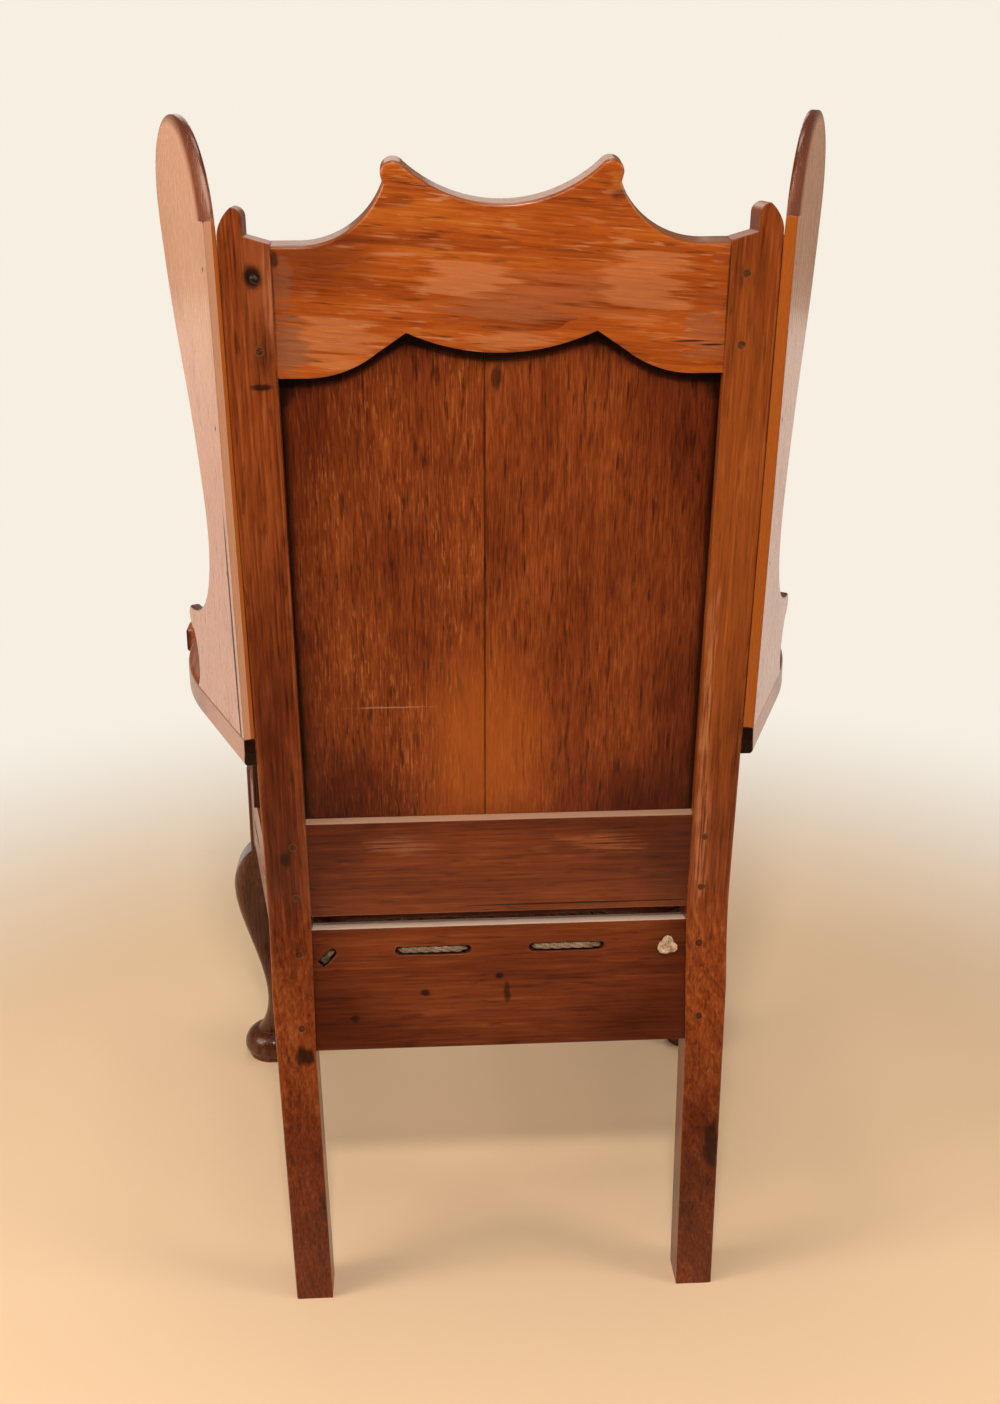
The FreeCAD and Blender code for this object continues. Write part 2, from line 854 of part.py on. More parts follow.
# Arms: flat boards laid from the posts, splayed with the wings and ending in round hands.
def arm():
    body = new_body("left_arm_board", floor_frame)
    face = new_sketch(body, "XY_Plane", arm_foot)
    splayed = size.wing_splay
    back = arm_mid_rise * tangent(size.back_rake) - size.wing_lip
    outer = post_outer + (size.wing_thick + size.arm_overhang) / cosine(splayed)
    run_end = back - size.arm_run * cosine(splayed)
    run_outer = (outer + size.arm_run * sine(splayed), run_end)
    hand_back = size.hand_round - size.arm_reach
    hand_in = hand_half - 2 * size.hand_round
    run_inner = (hand_in - size.arm_run * (1 - cosine(splayed)), run_end)
    inner = run_inner[0] - (back - run_end) * tangent(splayed)
    waist = (hand_half - size.hand_round * 0.45, hand_back + size.hand_round * 1.33)
    scroll = (hand_half, hand_back + size.hand_round * 0.67)
    outer_bend, way = sweep(run_outer, (sine(splayed), -cosine(splayed)), waist)
    scroll_bend, way = sweep(waist, way, scroll)
    draw(face, [
        (outer, back),
        run_outer,
        outer_bend,
        scroll_bend,
        (hand_half, hand_back),
        (hand_half - size.hand_round, -size.arm_reach, size.hand_round, RIGHT),
        (hand_in, hand_back, size.hand_round, RIGHT),
        (hand_in, run_end - size.arm_run * sine(splayed)),
        (*run_inner, size.arm_run, LEFT),
        (inner, back),
    ])
    pad(body, face, size.arm_thick)
    fillet(body, size.arm_edge, lambda edge: edge.BoundBox.ZLength < 0.01)
    behind = block("arm_end_cutter", back_frame,
                   (0, arm_mid_rise - 2 * size.arm_thick, size.wing_lip - size.post_depth),
                   (size.arm_reach, 4 * size.arm_thick, size.post_depth))
    return cut("left_arm_fitted", body, [left_post, behind])


left_arm = arm()
both_sides("arm", left_arm)


# Arm supports: curved uprights between the side rails and the arms.
def arm_support():
    body = new_body("left_arm_support_stick", floor_frame)
    behind = size.support_forward - size.support_depth / 2
    face = new_sketch(body, "XZ_Plane", behind)
    rail_out = post_outer + math.tan(side_turn) * (behind - size.post_depth)
    foot_in = rail_out - size.support_width
    bend = rail_top + size.support_straight
    top_out = hand_half - size.hand_round * 0.55
    top_in = top_out - size.support_width * 1.25
    rise = (bend + arm_foot) / 2
    outer_bend, way = sweep((rail_out, bend), (as_size(0), as_size(1)), ((rail_out + top_out) / 2, rise))
    upper_bend, way = sweep(outer_bend[:2], way, (top_out, arm_foot))
    inner_bend, way = sweep((top_in, arm_foot), (as_size(0), as_size(-1)), ((foot_in + top_in) / 2, rise))
    lower_bend, way = sweep(inner_bend[:2], way, (foot_in, bend))
    draw(face, [
        (foot_in, rail_top),
        (rail_out, rail_top),
        (rail_out, bend),
        outer_bend,
        upper_bend,
        (top_in, arm_foot),
        inner_bend,
        lower_bend,
    ])
    pad(body, face, size.support_depth)
    fillet(body, size.post_edge, lambda edge: edge.BoundBox.YLength < 0.01 and edge.BoundBox.ZLength > 1)
    return body


both_sides("arm_support", arm_support())


# Wings: one board each, with a round top and a scrolled front edge down to the arm.
def wing():
    body = new_body("left_wing_board", wing_frame)
    foot = number(arm_top - size.seat_level) / upward.z - waste

    def place(depth, height, *bend):
        return (depth - wing_lean * as_size(height), height, *bend)

    shoulder = place(size.wing_depth, size.wing_shoulder)
    waist = place(size.wing_waist, size.wing_waist_height)
    swell = ((shoulder[0] + waist[0]) / 2, (shoulder[1] + waist[1]) / 2)
    toe_top = place(size.wing_toe - size.wing_toe_round, size.wing_toe_height + size.wing_toe_round)
    toe_low = place(size.wing_toe - size.wing_toe_round, size.wing_toe_height - size.wing_toe_round)
    notch = (toe_low[0] - size.wing_toe_round / 2, toe_low[1] - size.wing_toe_round / 2)
    heel = place(size.wing_toe + size.wing_toe_round / 4, foot)
    crown = size.wing_depth / 2
    swell_bend, way = sweep(shoulder, (as_size(0), as_size(-1)), swell)
    waist_bend, way = sweep(swell, way, waist)
    lobe_bend, way = sweep(waist, way, toe_top)
    toe_bend, way = sweep(toe_top, way, toe_low)
    notch_bend, way = sweep(toe_low, way, notch)
    heel_bend, way = sweep(notch, way, heel)
    face = new_sketch(body, "XY_Plane")
    draw(face, [
        place(0, foot),
        place(0, size.wing_shoulder),
        (shoulder[0] - crown, size.wing_shoulder + crown, crown, RIGHT),
        (*shoulder, crown, RIGHT),
        swell_bend,
        waist_bend,
        lobe_bend,
        toe_bend,
        notch_bend,
        heel_bend,
    ])
    pad(body, face, size.wing_thick, True)
    low = foot + 1
    outside = -size.wing_thick

    def shaped_edge(edge, level):
        middle = edge.CenterOfMass
        flat = edge.BoundBox.ZLength < 0.01 and abs(middle.z - level) < 0.01
        return flat and middle.y > low and middle.x + wing_lean * middle.y > 1

    for level in (0, outside.value):
        fillet(body, size.wing_edge, lambda edge: shaped_edge(edge, level))

    rim = new_sketch(body, "XZ_Plane", -size.wing_shoulder, (shoulder[0] - crown + size.wing_round_fade, 0))
    reach = crown + size.wing_round_fade
    rim_start = (reach - size.wing_round, outside)
    rim_bend, way = sweep(rim_start, (as_size(1), as_size(0)), (reach, outside + size.wing_round_depth))
    draw(rim, [
        rim_start,
        rim_bend,
        (reach + waste, outside + size.wing_round_depth),
        (reach + waste, outside - waste),
        (reach - size.wing_round, outside - waste),
    ])
    rounding = body.newObject("PartDesign::Groove", "left_wing_rounding")
    rounding.Profile = rim
    rounding.ReferenceAxis = (rim, ["V_Axis"])
    rounding.Angle = 180
    below = block("wing_foot_cutter", floor_frame, (0, -size.arm_reach, arm_foot),
                  (size.arm_reach, 2 * size.arm_reach, size.arm_thick))
    return cut("left_wing_fitted", body, [below] + wing_nail_shanks(waste))


both_sides("wing", wing())


# Wedge strips that fill the angle between each wing and its post.
def wing_wedge():
    start = size.wing_wedge / 4
    strip = block("left_wing_wedge_strip", wing_edge_frame, (start, wing_foot_run + waste, 0),
                  (size.wing_wedge - start, wing_shoulder_run - wing_foot_run - 3 * waste,
                   size.wing_wedge * tangent(size.wing_splay)))
    return cut("left_wing_wedge_fitted", strip, [left_post] + wing_nail_shanks(waste))


both_sides("wing_wedge", wing_wedge())
both_sides("wing_nails", group("left_wing_nail_group", wing_nail_shanks(0)))


# Seat cord. One length runs front to back and one side to side below it, each through bored rails,
# sunk in slots where it turns along their outer faces, each knotted at one end and tucked in at the other.
cord_lift = size.seat_level - size.cord_drop
cross_lift = cord_lift - size.cord_width - size.soft_gap
cord_rows = 6
cross_rows = 5
cord_pitch = 2 * (size.back_half - size.cord_margin) / (cord_rows - 1)
cord_places = [(row - (cord_rows - 1) / 2) * cord_pitch for row in range(cord_rows)]
cross_places = [size.cross_start + row * size.cross_pitch for row in range(cross_rows)]
rear_face = size.cord_drop * tangent(size.leg_rake) - size.rear_rail_recess / cosine(size.leg_rake)
front_face = size.leg_forward + size.leg_block / 2 - size.crest_recess


def side_face(forward):
    outer = post_outer - size.side_rail_recess / math.cos(side_turn)
    return outer + math.tan(side_turn) * (forward - size.post_depth)


def slot(name, frame, start, end, lift):
    return block(name, frame, (start, lift - cord_hole / 2, -waste),
                 (end - start, cord_hole, size.cord_slot_depth + waste))


def row_slots(name, frame, places, rows, lift):
    return [slot(name, frame, places[row], places[row + 1], lift) for row in rows]


def bores(name, turn, places, start, length):
    return [rod(name, floor_frame.multiply(Placement(point(*place), turn)), (0, 0, start),
                cord_hole / 2, length) for place in places]


to_front = Rotation(Vector(1, 0, 0), 90)
to_left = Rotation(Vector(0, 1, 0), 90)
rear_bores = bores("rear_bore", to_front, [(place, 0, cord_lift) for place in cord_places],
                   -size.post_depth, 2 * size.post_depth)
front_bores = bores("front_bore", to_front, [(place, -front_face, cord_lift) for place in cord_places],
                    -size.post_depth, 2 * size.post_depth)
cross_bores = bores("cross_bore", to_left, [(0, -place, cross_lift) for place in cross_places],
                    size.back_half - size.post_width, 4 * size.post_width)

rear_surface = rear_leg_frame.multiply(Placement(point(0, 0, size.rear_rail_recess), Rotation()))
front_surface = front_frame.multiply(Placement(point(0, 0, front_rail_back + size.rail_thick),
                                               Rotation(Vector(0, 1, 0), 180)))
rear_slot_lift = -size.cord_drop / cosine(size.leg_rake)
rear_cutters = rear_bores + row_slots("rear_slot", rear_surface, cord_places, (1, 3), rear_slot_lift)
tail_frame = rear_surface.multiply(Placement(point(cord_places[-1], rear_slot_lift),
                                             Rotation(Vector(0, 0, 1), -45)))
rear_cutters.append(slot("tail_slot", tail_frame, as_size(0), 1.5 * size.cord_slot_depth, as_size(0)))
front_cutters = front_bores + row_slots("front_slot", front_surface, cord_places, (0, 2, 4), cord_lift)
node("rear_seat_rail", cut("rear_rail_bored", rear_board, rear_cutters))
node("front_seat_rail", cut("front_rail_bored", front_board, front_cutters))


def along_side(forward):
    return (forward - size.post_depth) / math.cos(side_turn) - math.tan(side_turn) * size.side_rail_recess


def side_slots(name, rows):
    return row_slots(name, side_frame, [along_side(place) for place in cross_places], rows, cross_lift)


left_rail = cut("left_side_rail_bored", side_board, cross_bores + side_slots("left_slot", (1, 3)))
right_rail = cut("right_side_rail_bored", side_board, cross_bores + side_slots("right_slot", (0, 2)))
node("left_side_seat_rail", left_rail)
node("right_side_seat_rail", mirrored("right_side_rail_turned", right_rail))


# A cord's middle line: straight runs with tangent arcs of one radius at the corners.
def cord_line(places, radius):
    corners = [floor_frame.multVec(point(*place)) for place in places]
    edges = []
    start = corners[0]
    for before, corner, after in zip(corners, corners[1:], corners[2:]):
        come = (before - corner).normalize()
        leave = (after - corner).normalize()
        half = come.getAngle(leave) / 2
        reach = radius / math.tan(half)
        centre = corner + (come + leave).normalize() * (radius / math.sin(half))
        middle = centre + (corner - centre).normalize() * radius
        end = corner + leave * reach
        edges.append(Part.LineSegment(start, corner + come * reach).toShape())
        edges.append(Part.Arc(corner + come * reach, middle, end).toShape())
        start = end
    edges.append(Part.LineSegment(start, corners[-1]).toShape())
    return Part.Wire(edges)


def cord(label, places):
    line = cord_line(places, size.cord_bend.value)
    first = line.Edges[0]
    radius = size.cord_width.value / 2
    ring = Part.Circle(first.Vertexes[0].Point, first.tangentAt(first.FirstParameter), radius)
    solid = line.makePipeShell([Part.Wire([ring.toShape()])], True, False)
    expected = math.pi * radius ** 2 * line.Length
    print("%s: %.0f mm long, bends of %.1f mm, volume %.4f of section by length"
          % (label, line.Length, size.cord_bend.value, solid.Volume / expected))
    if abs(solid.Volume / expected - 1) > 0.005:
        raise RuntimeError(label + ": the cord's volume does not match its length")
    item = doc.addObject("Part::Feature", label)
    item.Shape = solid
    return node(label, item)


knot_base = size.soft_gap / 2
rear_run = rear_face - size.cord_sink
front_run = size.cord_sink - front_face
long_route = [(cord_places[0], rear_face + knot_base, cord_lift)]
for row, place in enumerate(cord_places):
    ends = (rear_run, front_run) if row % 2 == 0 else (front_run, rear_run)
    if row > 0:
        long_route.append((place, ends[0], cord_lift))
    long_route.append((place, ends[1], cord_lift))
tail = size.cord_slot_depth * 0.9
tail_down = tail * cosine(size.leg_rake)
long_route.append((cord_places[-1] + tail, rear_run + tail * sine(size.leg_rake), cord_lift - tail_down))
cord("lengthwise_seat_cord", long_route)

cross_route = [(side_face(cross_places[0]) - size.cord_sink / 2, -cross_places[0], cross_lift)]
for row, place in enumerate(cross_places):
    run = side_face(place) - size.cord_sink
    ends = (run, -run) if row % 2 == 0 else (-run, run)
    if row > 0:
        cross_route.append((ends[0], -place, cross_lift))
    last = row == cross_rows - 1
    cross_route.append((-side_face(place) - knot_base if last else ends[1], -place, cross_lift))
cord("crosswise_seat_cord", cross_route)


def knot(name, place, outward):
    item = doc.addObject("Part::Sphere", name)
    bind(item, "Radius", size.knot_radius)
    item.Angle1 = -40
    rise = size.knot_radius.value * math.sin(math.radians(40))
    frame = floor_frame.multiply(Placement(point(*place), Rotation(Vector(0, 0, 1), outward)))
    item.Placement = frame.multiply(Placement(Vector(0, 0, rise), Rotation()))
    return item


rear_outward = rear_leg_frame.Rotation.multVec(Vector(0, 0, -1))
left_outward = -side_inward
right_outward = Vector(-left_outward.x, left_outward.y, left_outward.z)
node("cord_knots", group("cord_knot_group", [
    knot("rear_knot", long_route[0], rear_outward),
    knot("right_knot", cross_route[-1], right_outward),
]))


# Loose squab: a tapered cushion with soft sides and a crown, resting on the cords between the rails.
def squab():
    body = new_body("squab_pad", floor_frame)
    back = size.post_depth + 4 * size.soft_gap
    front = leg_back + front_rail_back - 4 * size.soft_gap
    back_half = side_face(back) - size.rail_thick - 6 * size.soft_gap
    front_half = front_clear_half - 4 * size.soft_gap
    foot = cord_lift + size.cord_width / 2 + size.soft_gap / 3
    corner = size.squab_corner

    def layer(rise, inset):
        section = new_sketch(body, "XY_Plane", foot + rise)
        wide = (back_half - inset, front_half - inset)
        near = -(front - inset)
        far = -(back + inset)
        draw(section, [
            (corner - wide[1], near, corner * 1.05, LEFT),
            (wide[1] - corner, near),
            (wide[1], near + corner, corner * 1.05, LEFT),
            (wide[0], far - corner),
            (wide[0] - corner, far, corner * 1.05, LEFT),
            (corner - wide[0], far),
            (-wide[0], far - corner, corner * 1.05, LEFT),
            (-wide[1], near + corner),
        ])
        return section

    middle = size.squab_thick / 2
    layers = [
        layer(as_size(0), size.squab_sag),
        layer(middle * 0.4, as_size(0)),
        layer(middle * 1.6, as_size(0)),
        layer(size.squab_thick, size.squab_sag),
        layer(size.squab_thick + size.squab_crown, 8 * size.squab_sag),
    ]
    loft = body.newObject("PartDesign::AdditiveLoft", "squab_loft")
    loft.Profile = layers[0]
    loft.Sections = layers[1:]
    loft.Ruled = True
    return body


node("seat_squab", squab())

doc.recompute()
for item in doc.Objects:
    if "Invalid" in item.State or "Error" in item.State:
        raise RuntimeError("%s does not compute: %s" % (item.Label, item.State))

os.makedirs("parts", exist_ok=True)
for label, item in nodes.items():
    if item.Shape.isNull() or not item.Shape.isValid():
        raise RuntimeError(label + " has no sound shape")
    item.Shape.exportStep("parts/%s.step" % label)
    print("%s: %d solid(s), %.0f mm3" % (label, len(item.Shape.Solids), item.Shape.Volume))
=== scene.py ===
import math

import bmesh
import bpy
import numpy as np
from mathutils import Matrix, Vector
from mathutils.bvhtree import BVHTree


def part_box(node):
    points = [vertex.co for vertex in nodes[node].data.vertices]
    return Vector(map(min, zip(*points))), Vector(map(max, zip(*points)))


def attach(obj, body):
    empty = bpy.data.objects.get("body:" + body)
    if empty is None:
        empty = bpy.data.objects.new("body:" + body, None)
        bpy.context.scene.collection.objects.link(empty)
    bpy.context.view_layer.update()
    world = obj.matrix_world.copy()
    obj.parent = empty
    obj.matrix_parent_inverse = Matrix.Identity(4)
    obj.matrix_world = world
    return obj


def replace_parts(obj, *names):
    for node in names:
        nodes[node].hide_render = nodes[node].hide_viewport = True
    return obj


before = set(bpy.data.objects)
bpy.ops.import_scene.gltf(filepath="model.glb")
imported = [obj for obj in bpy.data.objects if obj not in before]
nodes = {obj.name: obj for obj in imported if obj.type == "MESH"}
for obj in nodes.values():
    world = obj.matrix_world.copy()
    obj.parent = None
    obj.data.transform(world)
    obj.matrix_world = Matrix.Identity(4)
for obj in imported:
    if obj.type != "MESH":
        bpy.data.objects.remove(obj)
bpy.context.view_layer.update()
scene = bpy.context.scene
print("frame loaded:", len(nodes), "nodes")


# small tools

def hexColour(code):
    parts = [int(code[i:i + 2], 16) / 255 for i in (1, 3, 5)]
    return (*[c / 12.92 if c <= 0.04045 else ((c + 0.055) / 1.055) ** 2.4 for c in parts], 1)


def addNode(tree, kind, inputs=None, stops=None, **settings):
    node = tree.nodes.new(kind)
    for name, value in settings.items():
        setattr(node, name, value)
    for socket, value in (inputs or {}).items():
        if isinstance(value, bpy.types.NodeSocket):
            tree.links.new(value, node.inputs[socket])
        else:
            node.inputs[socket].default_value = value
    for index, (place, colour) in enumerate(stops or []):
        elements = node.color_ramp.elements
        if index == len(elements):
            elements.new(1.0)
        elements[index].position = place
        elements[index].color = hexColour(colour)
    return node.outputs


def newMaterial(name):
    material = bpy.data.materials.new(name)
    material.use_nodes = True
    material.node_tree.nodes.clear()
    return material, material.node_tree


def newPiece(name, mesh, body, material, smooth=True):
    piece = bpy.data.objects.new(name, mesh)
    scene.collection.objects.link(piece)
    mesh.materials.clear()
    mesh.materials.append(material)
    mesh.polygons.foreach_set("use_smooth", [smooth] * len(mesh.polygons))
    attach(piece, body)
    return piece


def finishMesh(bm, name):
    mesh = bpy.data.meshes.new(name)
    bm.to_mesh(mesh)
    bm.free()
    return mesh


# camera, where the photograph was taken from

view = {
    "place": (0.083, 1.830, 1.214),  # metres
    "yaw": -2.96, "pitch": 18.52, "roll": -0.41,  # degrees
    "focal": 1715, "long": 1404,  # pixels of the photograph
}


def makeCamera():
    yaw, pitch, roll = [math.radians(view[k]) for k in ("yaw", "pitch", "roll")]
    up = Vector((0, 0, 1))
    ahead = Vector((math.sin(yaw), -math.cos(yaw), 0))
    right = Vector((-math.cos(yaw), -math.sin(yaw), 0))
    aim = ahead * math.cos(pitch) - up * math.sin(pitch)
    head = up * math.cos(pitch) + ahead * math.sin(pitch)
    side = right * math.cos(roll) + head * math.sin(roll)
    head = head * math.cos(roll) - right * math.sin(roll)
    camera = bpy.data.objects.new("camera", bpy.data.cameras.new("camera"))
    scene.collection.objects.link(camera)
    camera.data.sensor_width = 36
    camera.data.lens = view["focal"] * camera.data.sensor_width / view["long"]
    camera.matrix_world = Matrix.Translation(view["place"]) @ Matrix((side, head, -aim)).transposed().to_4x4()
    scene.camera = camera


makeCamera()


# studio: pale floor that fades into a pale backdrop, soft lamps above and to the sides

studio = {
    "backdrop": "#f6efe2", "floor": "#ecd0b0", "floorRadius": 9, "ambient": 0.18,
    "room": 0.04, "wall": 0.14,  # what gloss shows of the dim room behind the camera and of the far wall
    "wallFrom": -0.7, "wallTo": 0.2,  # how far a ray turns to the front before it meets that wall
    "roomFloor": "#2a1e14", "roomFloorFrom": 0.35, "roomFloorTo": 0.9,  # that room's floor in gloss, metres along Y
    "mirrorFrom": 0.2, "mirrorTo": -0.6,  # metres along Y, from where gloss sees the faded floor too
    "fadeFrom": 0.7, "fadeTo": 1.9,  # metres from the chair
    "lamps": {  # place, aim, width in metres, watts, colour
        "key": ((0.1, 2.0, 2.3), (0, 0.2, 0.7), 0.25, 33, "#fff2e2"),
        "overhead": ((0.0, 0.35, 3.0), (0, 0.1, 0), 0.9, 16, "#fff4e8"),
        "leftBox": ((2.2, 0.7, 1.5), (0.2, 0.1, 0.8), 1.2, 33, "#fff0dc"),
        "rightBox": ((-2.2, 0.9, 1.5), (-0.2, 0.1, 0.8), 1.2, 21, "#fff0dc"),
        "front": ((0.2, -2.4, 2.4), (0, 0, 0.6), 1.8, 13, "#fff4e8"),
        "glint": ((2.0, 1.45, 2.55), (0.27, 0.25, 1.15), 0.28, 7, "#fff6ea"),
    },
}


def makeStudio():
    scene.view_settings.view_transform = "Standard"
    world = bpy.data.worlds.new("studio")
    world.use_nodes = True
    scene.world = world
    tree = world.node_tree
    tree.nodes.clear()
    rays = addNode(tree, "ShaderNodeLightPath")
    way = addNode(tree, "ShaderNodeTexCoord")["Generated"]  # in a world, the way a ray goes
    toward = addNode(tree, "ShaderNodeVectorMath", {0: way, 1: (0, -1, 0)}, operation="DOT_PRODUCT")[1]
    pale = addNode(tree, "ShaderNodeMapRange", {"Value": toward, "From Min": studio["wallFrom"],
                                                "From Max": studio["wallTo"], "To Max": studio["wall"]})[0]
    mirror = addNode(tree, "ShaderNodeMath", {0: rays["Is Glossy Ray"], 1: pale}, operation="MULTIPLY")[0]
    seen = addNode(tree, "ShaderNodeMath", {0: rays["Is Camera Ray"], 1: mirror}, operation="MAXIMUM")[0]
    seen = addNode(tree, "ShaderNodeMath", {0: seen, 1: rays["Is Transmission Ray"]}, operation="MAXIMUM")[0]
    dim = addNode(tree, "ShaderNodeMapRange", {"Value": rays["Is Glossy Ray"], "To Min": studio["ambient"],
                                               "To Max": studio["room"]})[0]
    strength = addNode(tree, "ShaderNodeMapRange", {"Value": seen, "To Min": dim, "To Max": 1.0})[0]
    sky = addNode(tree, "ShaderNodeBackground", {"Color": hexColour(studio["backdrop"]), "Strength": strength})[0]
    addNode(tree, "ShaderNodeOutputWorld", {"Surface": sky})

    bm = bmesh.new()
    bmesh.ops.create_circle(bm, cap_ends=True, segments=96, radius=studio["floorRadius"])
    floor = bpy.data.objects.new("floor", finishMesh(bm, "floor"))
    scene.collection.objects.link(floor)
    material, tree = newMaterial("paleFloor")  # painted studio boards, flat and dull
    place = addNode(tree, "ShaderNodeTexCoord")["Object"]
    far = addNode(tree, "ShaderNodeVectorMath", {0: place}, operation="LENGTH")[1]
    fade = addNode(tree, "ShaderNodeMapRange",
                   {"Value": far, "From Min": studio["fadeFrom"], "From Max": studio["fadeTo"]},
                   interpolation_type="SMOOTHSTEP")[0]
    rays = addNode(tree, "ShaderNodeLightPath")
    along = addNode(tree, "ShaderNodeSeparateXYZ", {0: place})["Y"]
    pale = addNode(tree, "ShaderNodeMapRange", {"Value": along, "From Min": studio["mirrorFrom"],
                                                "From Max": studio["mirrorTo"]})[0]
    mirror = addNode(tree, "ShaderNodeMath", {0: rays["Is Glossy Ray"], 1: pale}, operation="MULTIPLY")[0]
    seen = addNode(tree, "ShaderNodeMath", {0: rays["Is Camera Ray"], 1: mirror}, operation="MAXIMUM")[0]
    seen = addNode(tree, "ShaderNodeMath", {0: seen, 1: rays["Is Transmission Ray"]}, operation="MAXIMUM")[0]
    fade = addNode(tree, "ShaderNodeMath", {0: fade, 1: seen}, operation="MULTIPLY")[0]
    dim = addNode(tree, "ShaderNodeMapRange", {"Value": along, "From Min": studio["roomFloorFrom"],
                                               "From Max": studio["roomFloorTo"]})[0]
    dim = addNode(tree, "ShaderNodeMath", {0: rays["Is Glossy Ray"], 1: dim}, operation="MULTIPLY")[0]
    paint = addNode(tree, "ShaderNodeMix", {0: dim, 6: hexColour(studio["floor"]),
                                            7: hexColour(studio["roomFloor"])}, data_type="RGBA")[2]
    boards = addNode(tree, "ShaderNodeBsdfDiffuse", {"Color": paint})[0]
    distance = addNode(tree, "ShaderNodeEmission", {"Color": hexColour(studio["backdrop"])})[0]
    mixed = addNode(tree, "ShaderNodeMixShader", {0: fade, 1: boards, 2: distance})[0]
    addNode(tree, "ShaderNodeOutputMaterial", {"Surface": mixed})
    floor.data.materials.append(material)

    for name, (place, aim, width, watts, colour) in studio["lamps"].items():
        lamp = bpy.data.objects.new(name, bpy.data.lights.new(name, "AREA"))
        lamp.data.shape = "DISK"
        lamp.data.size = width
        lamp.data.energy = watts
        lamp.data.color = hexColour(colour)[:3]
        lamp.visible_camera = False
        lamp.location = place
        lamp.rotation_euler = (Vector(aim) - Vector(place)).to_track_quat("-Z", "Y").to_euler()
        scene.collection.objects.link(lamp)


makeStudio()
print("studio ready")


# wood finishes. Old fruitwood, hand planed, rubbed with wax for two centuries: paler and redder where hands
# and brooms have rubbed the arrises, with scuffs, nail stains and pits. Darkness in the hollows is painted shade;
# some finishes also carry painted highlights and reflections.

waveLength = 2 * math.pi / 20  # one band of the wave texture at scale 1
rake = math.radians(10.7)  # the back leans by this much
upright = (rake, 0, 0)  # grain along the raked back
across = (0, -math.pi / 2, 0)  # grain along X
foreAft = (math.pi / 2, 0, 0)  # grain along Y

plainWood = {
    "turn": upright, "heart": (0.13, 0.21, 0.3),  # metres to the heart of the tree
    "ringWidth": 0.007, "rings": 0.16, "stretch": 0.06,  # stretch and draw: scale along the grain
    "wanderWidth": 0.05, "wander": (0.035, 0.035, 0.02),  # how far the rings stray
    "fibreWidth": 0.0022, "fibres": 1.15, "draw": 0.035,  # true fibres are finer, these are drawn to show
    "streakWidth": 0.011, "streaks": 0.75, "streakDraw": 0.05,
    "cloudWidth": 0.06, "clouds": 0.75, "cloudDraw": 0.4,
    "tones": ((0.1, "#38140a"), (0.38, "#78340f"), (0.6, "#8e4316"), (0.9, "#ad6432")),
    "pits": "#2a0f06", "pitShare": 0.5, "poreWidth": 0.0042, "poreDraw": 0.12,
    "edge": 0.0016, "rubbed": "#b06c3c", "rubbedShare": 0.6,
    "dull": 0.36, "shine": 0.32, "coat": 0.22, "coatRough": 0.13,
    "relief": 0.0009, "reliefShare": 0.35, "pitRelief": -0.8, "cloudRelief": 1.6,
    "marks": (), "facing": (),
}

defaultMark = {
    "strength": 0.8, "soft": 0.6, "ragged": 0.5, "ragWidth": 0.012, "blend": "MIX", "dulled": 0.0,
    "outside": False,  # colours all but the inside
    "raked": False,  # placed in the leaning back's own frame
    "feathered": False,  # torn along the fibres
    "broken": False,  # skips along the fibres
    "open": False,  # a gap, with no wax to shine
}


def markMask(tree, place, drift, mark):
    rag = mark["ragged"]
    start = [a + s * rag / 2 for a, s in zip(mark["at"], mark["size"])]
    noise = addNode(tree, "ShaderNodeTexNoise", {"Vector": drift, "Scale": 1 / mark["ragWidth"], "Detail": 3})[1]
    offset = addNode(tree, "ShaderNodeVectorMath", {0: place, 1: start}, operation="SUBTRACT")[0]
    offset = addNode(tree, "ShaderNodeVectorMath", {0: offset, 1: mark["size"]}, operation="DIVIDE")[0]
    offset = addNode(tree, "ShaderNodeVectorMath", {0: noise, 1: (rag, rag, rag), 2: offset},
                     operation="MULTIPLY_ADD")[0]
    far = addNode(tree, "ShaderNodeVectorMath", {0: offset}, operation="LENGTH")[1]
    ends = (0, mark["strength"]) if mark["outside"] else (mark["strength"], 0)
    return addNode(tree, "ShaderNodeMapRange",
                   {"Value": far, "From Min": 1 - mark["soft"], "From Max": 1, "To Min": ends[0], "To Max": ends[1]},
                   interpolation_type="SMOOTHSTEP")[0]


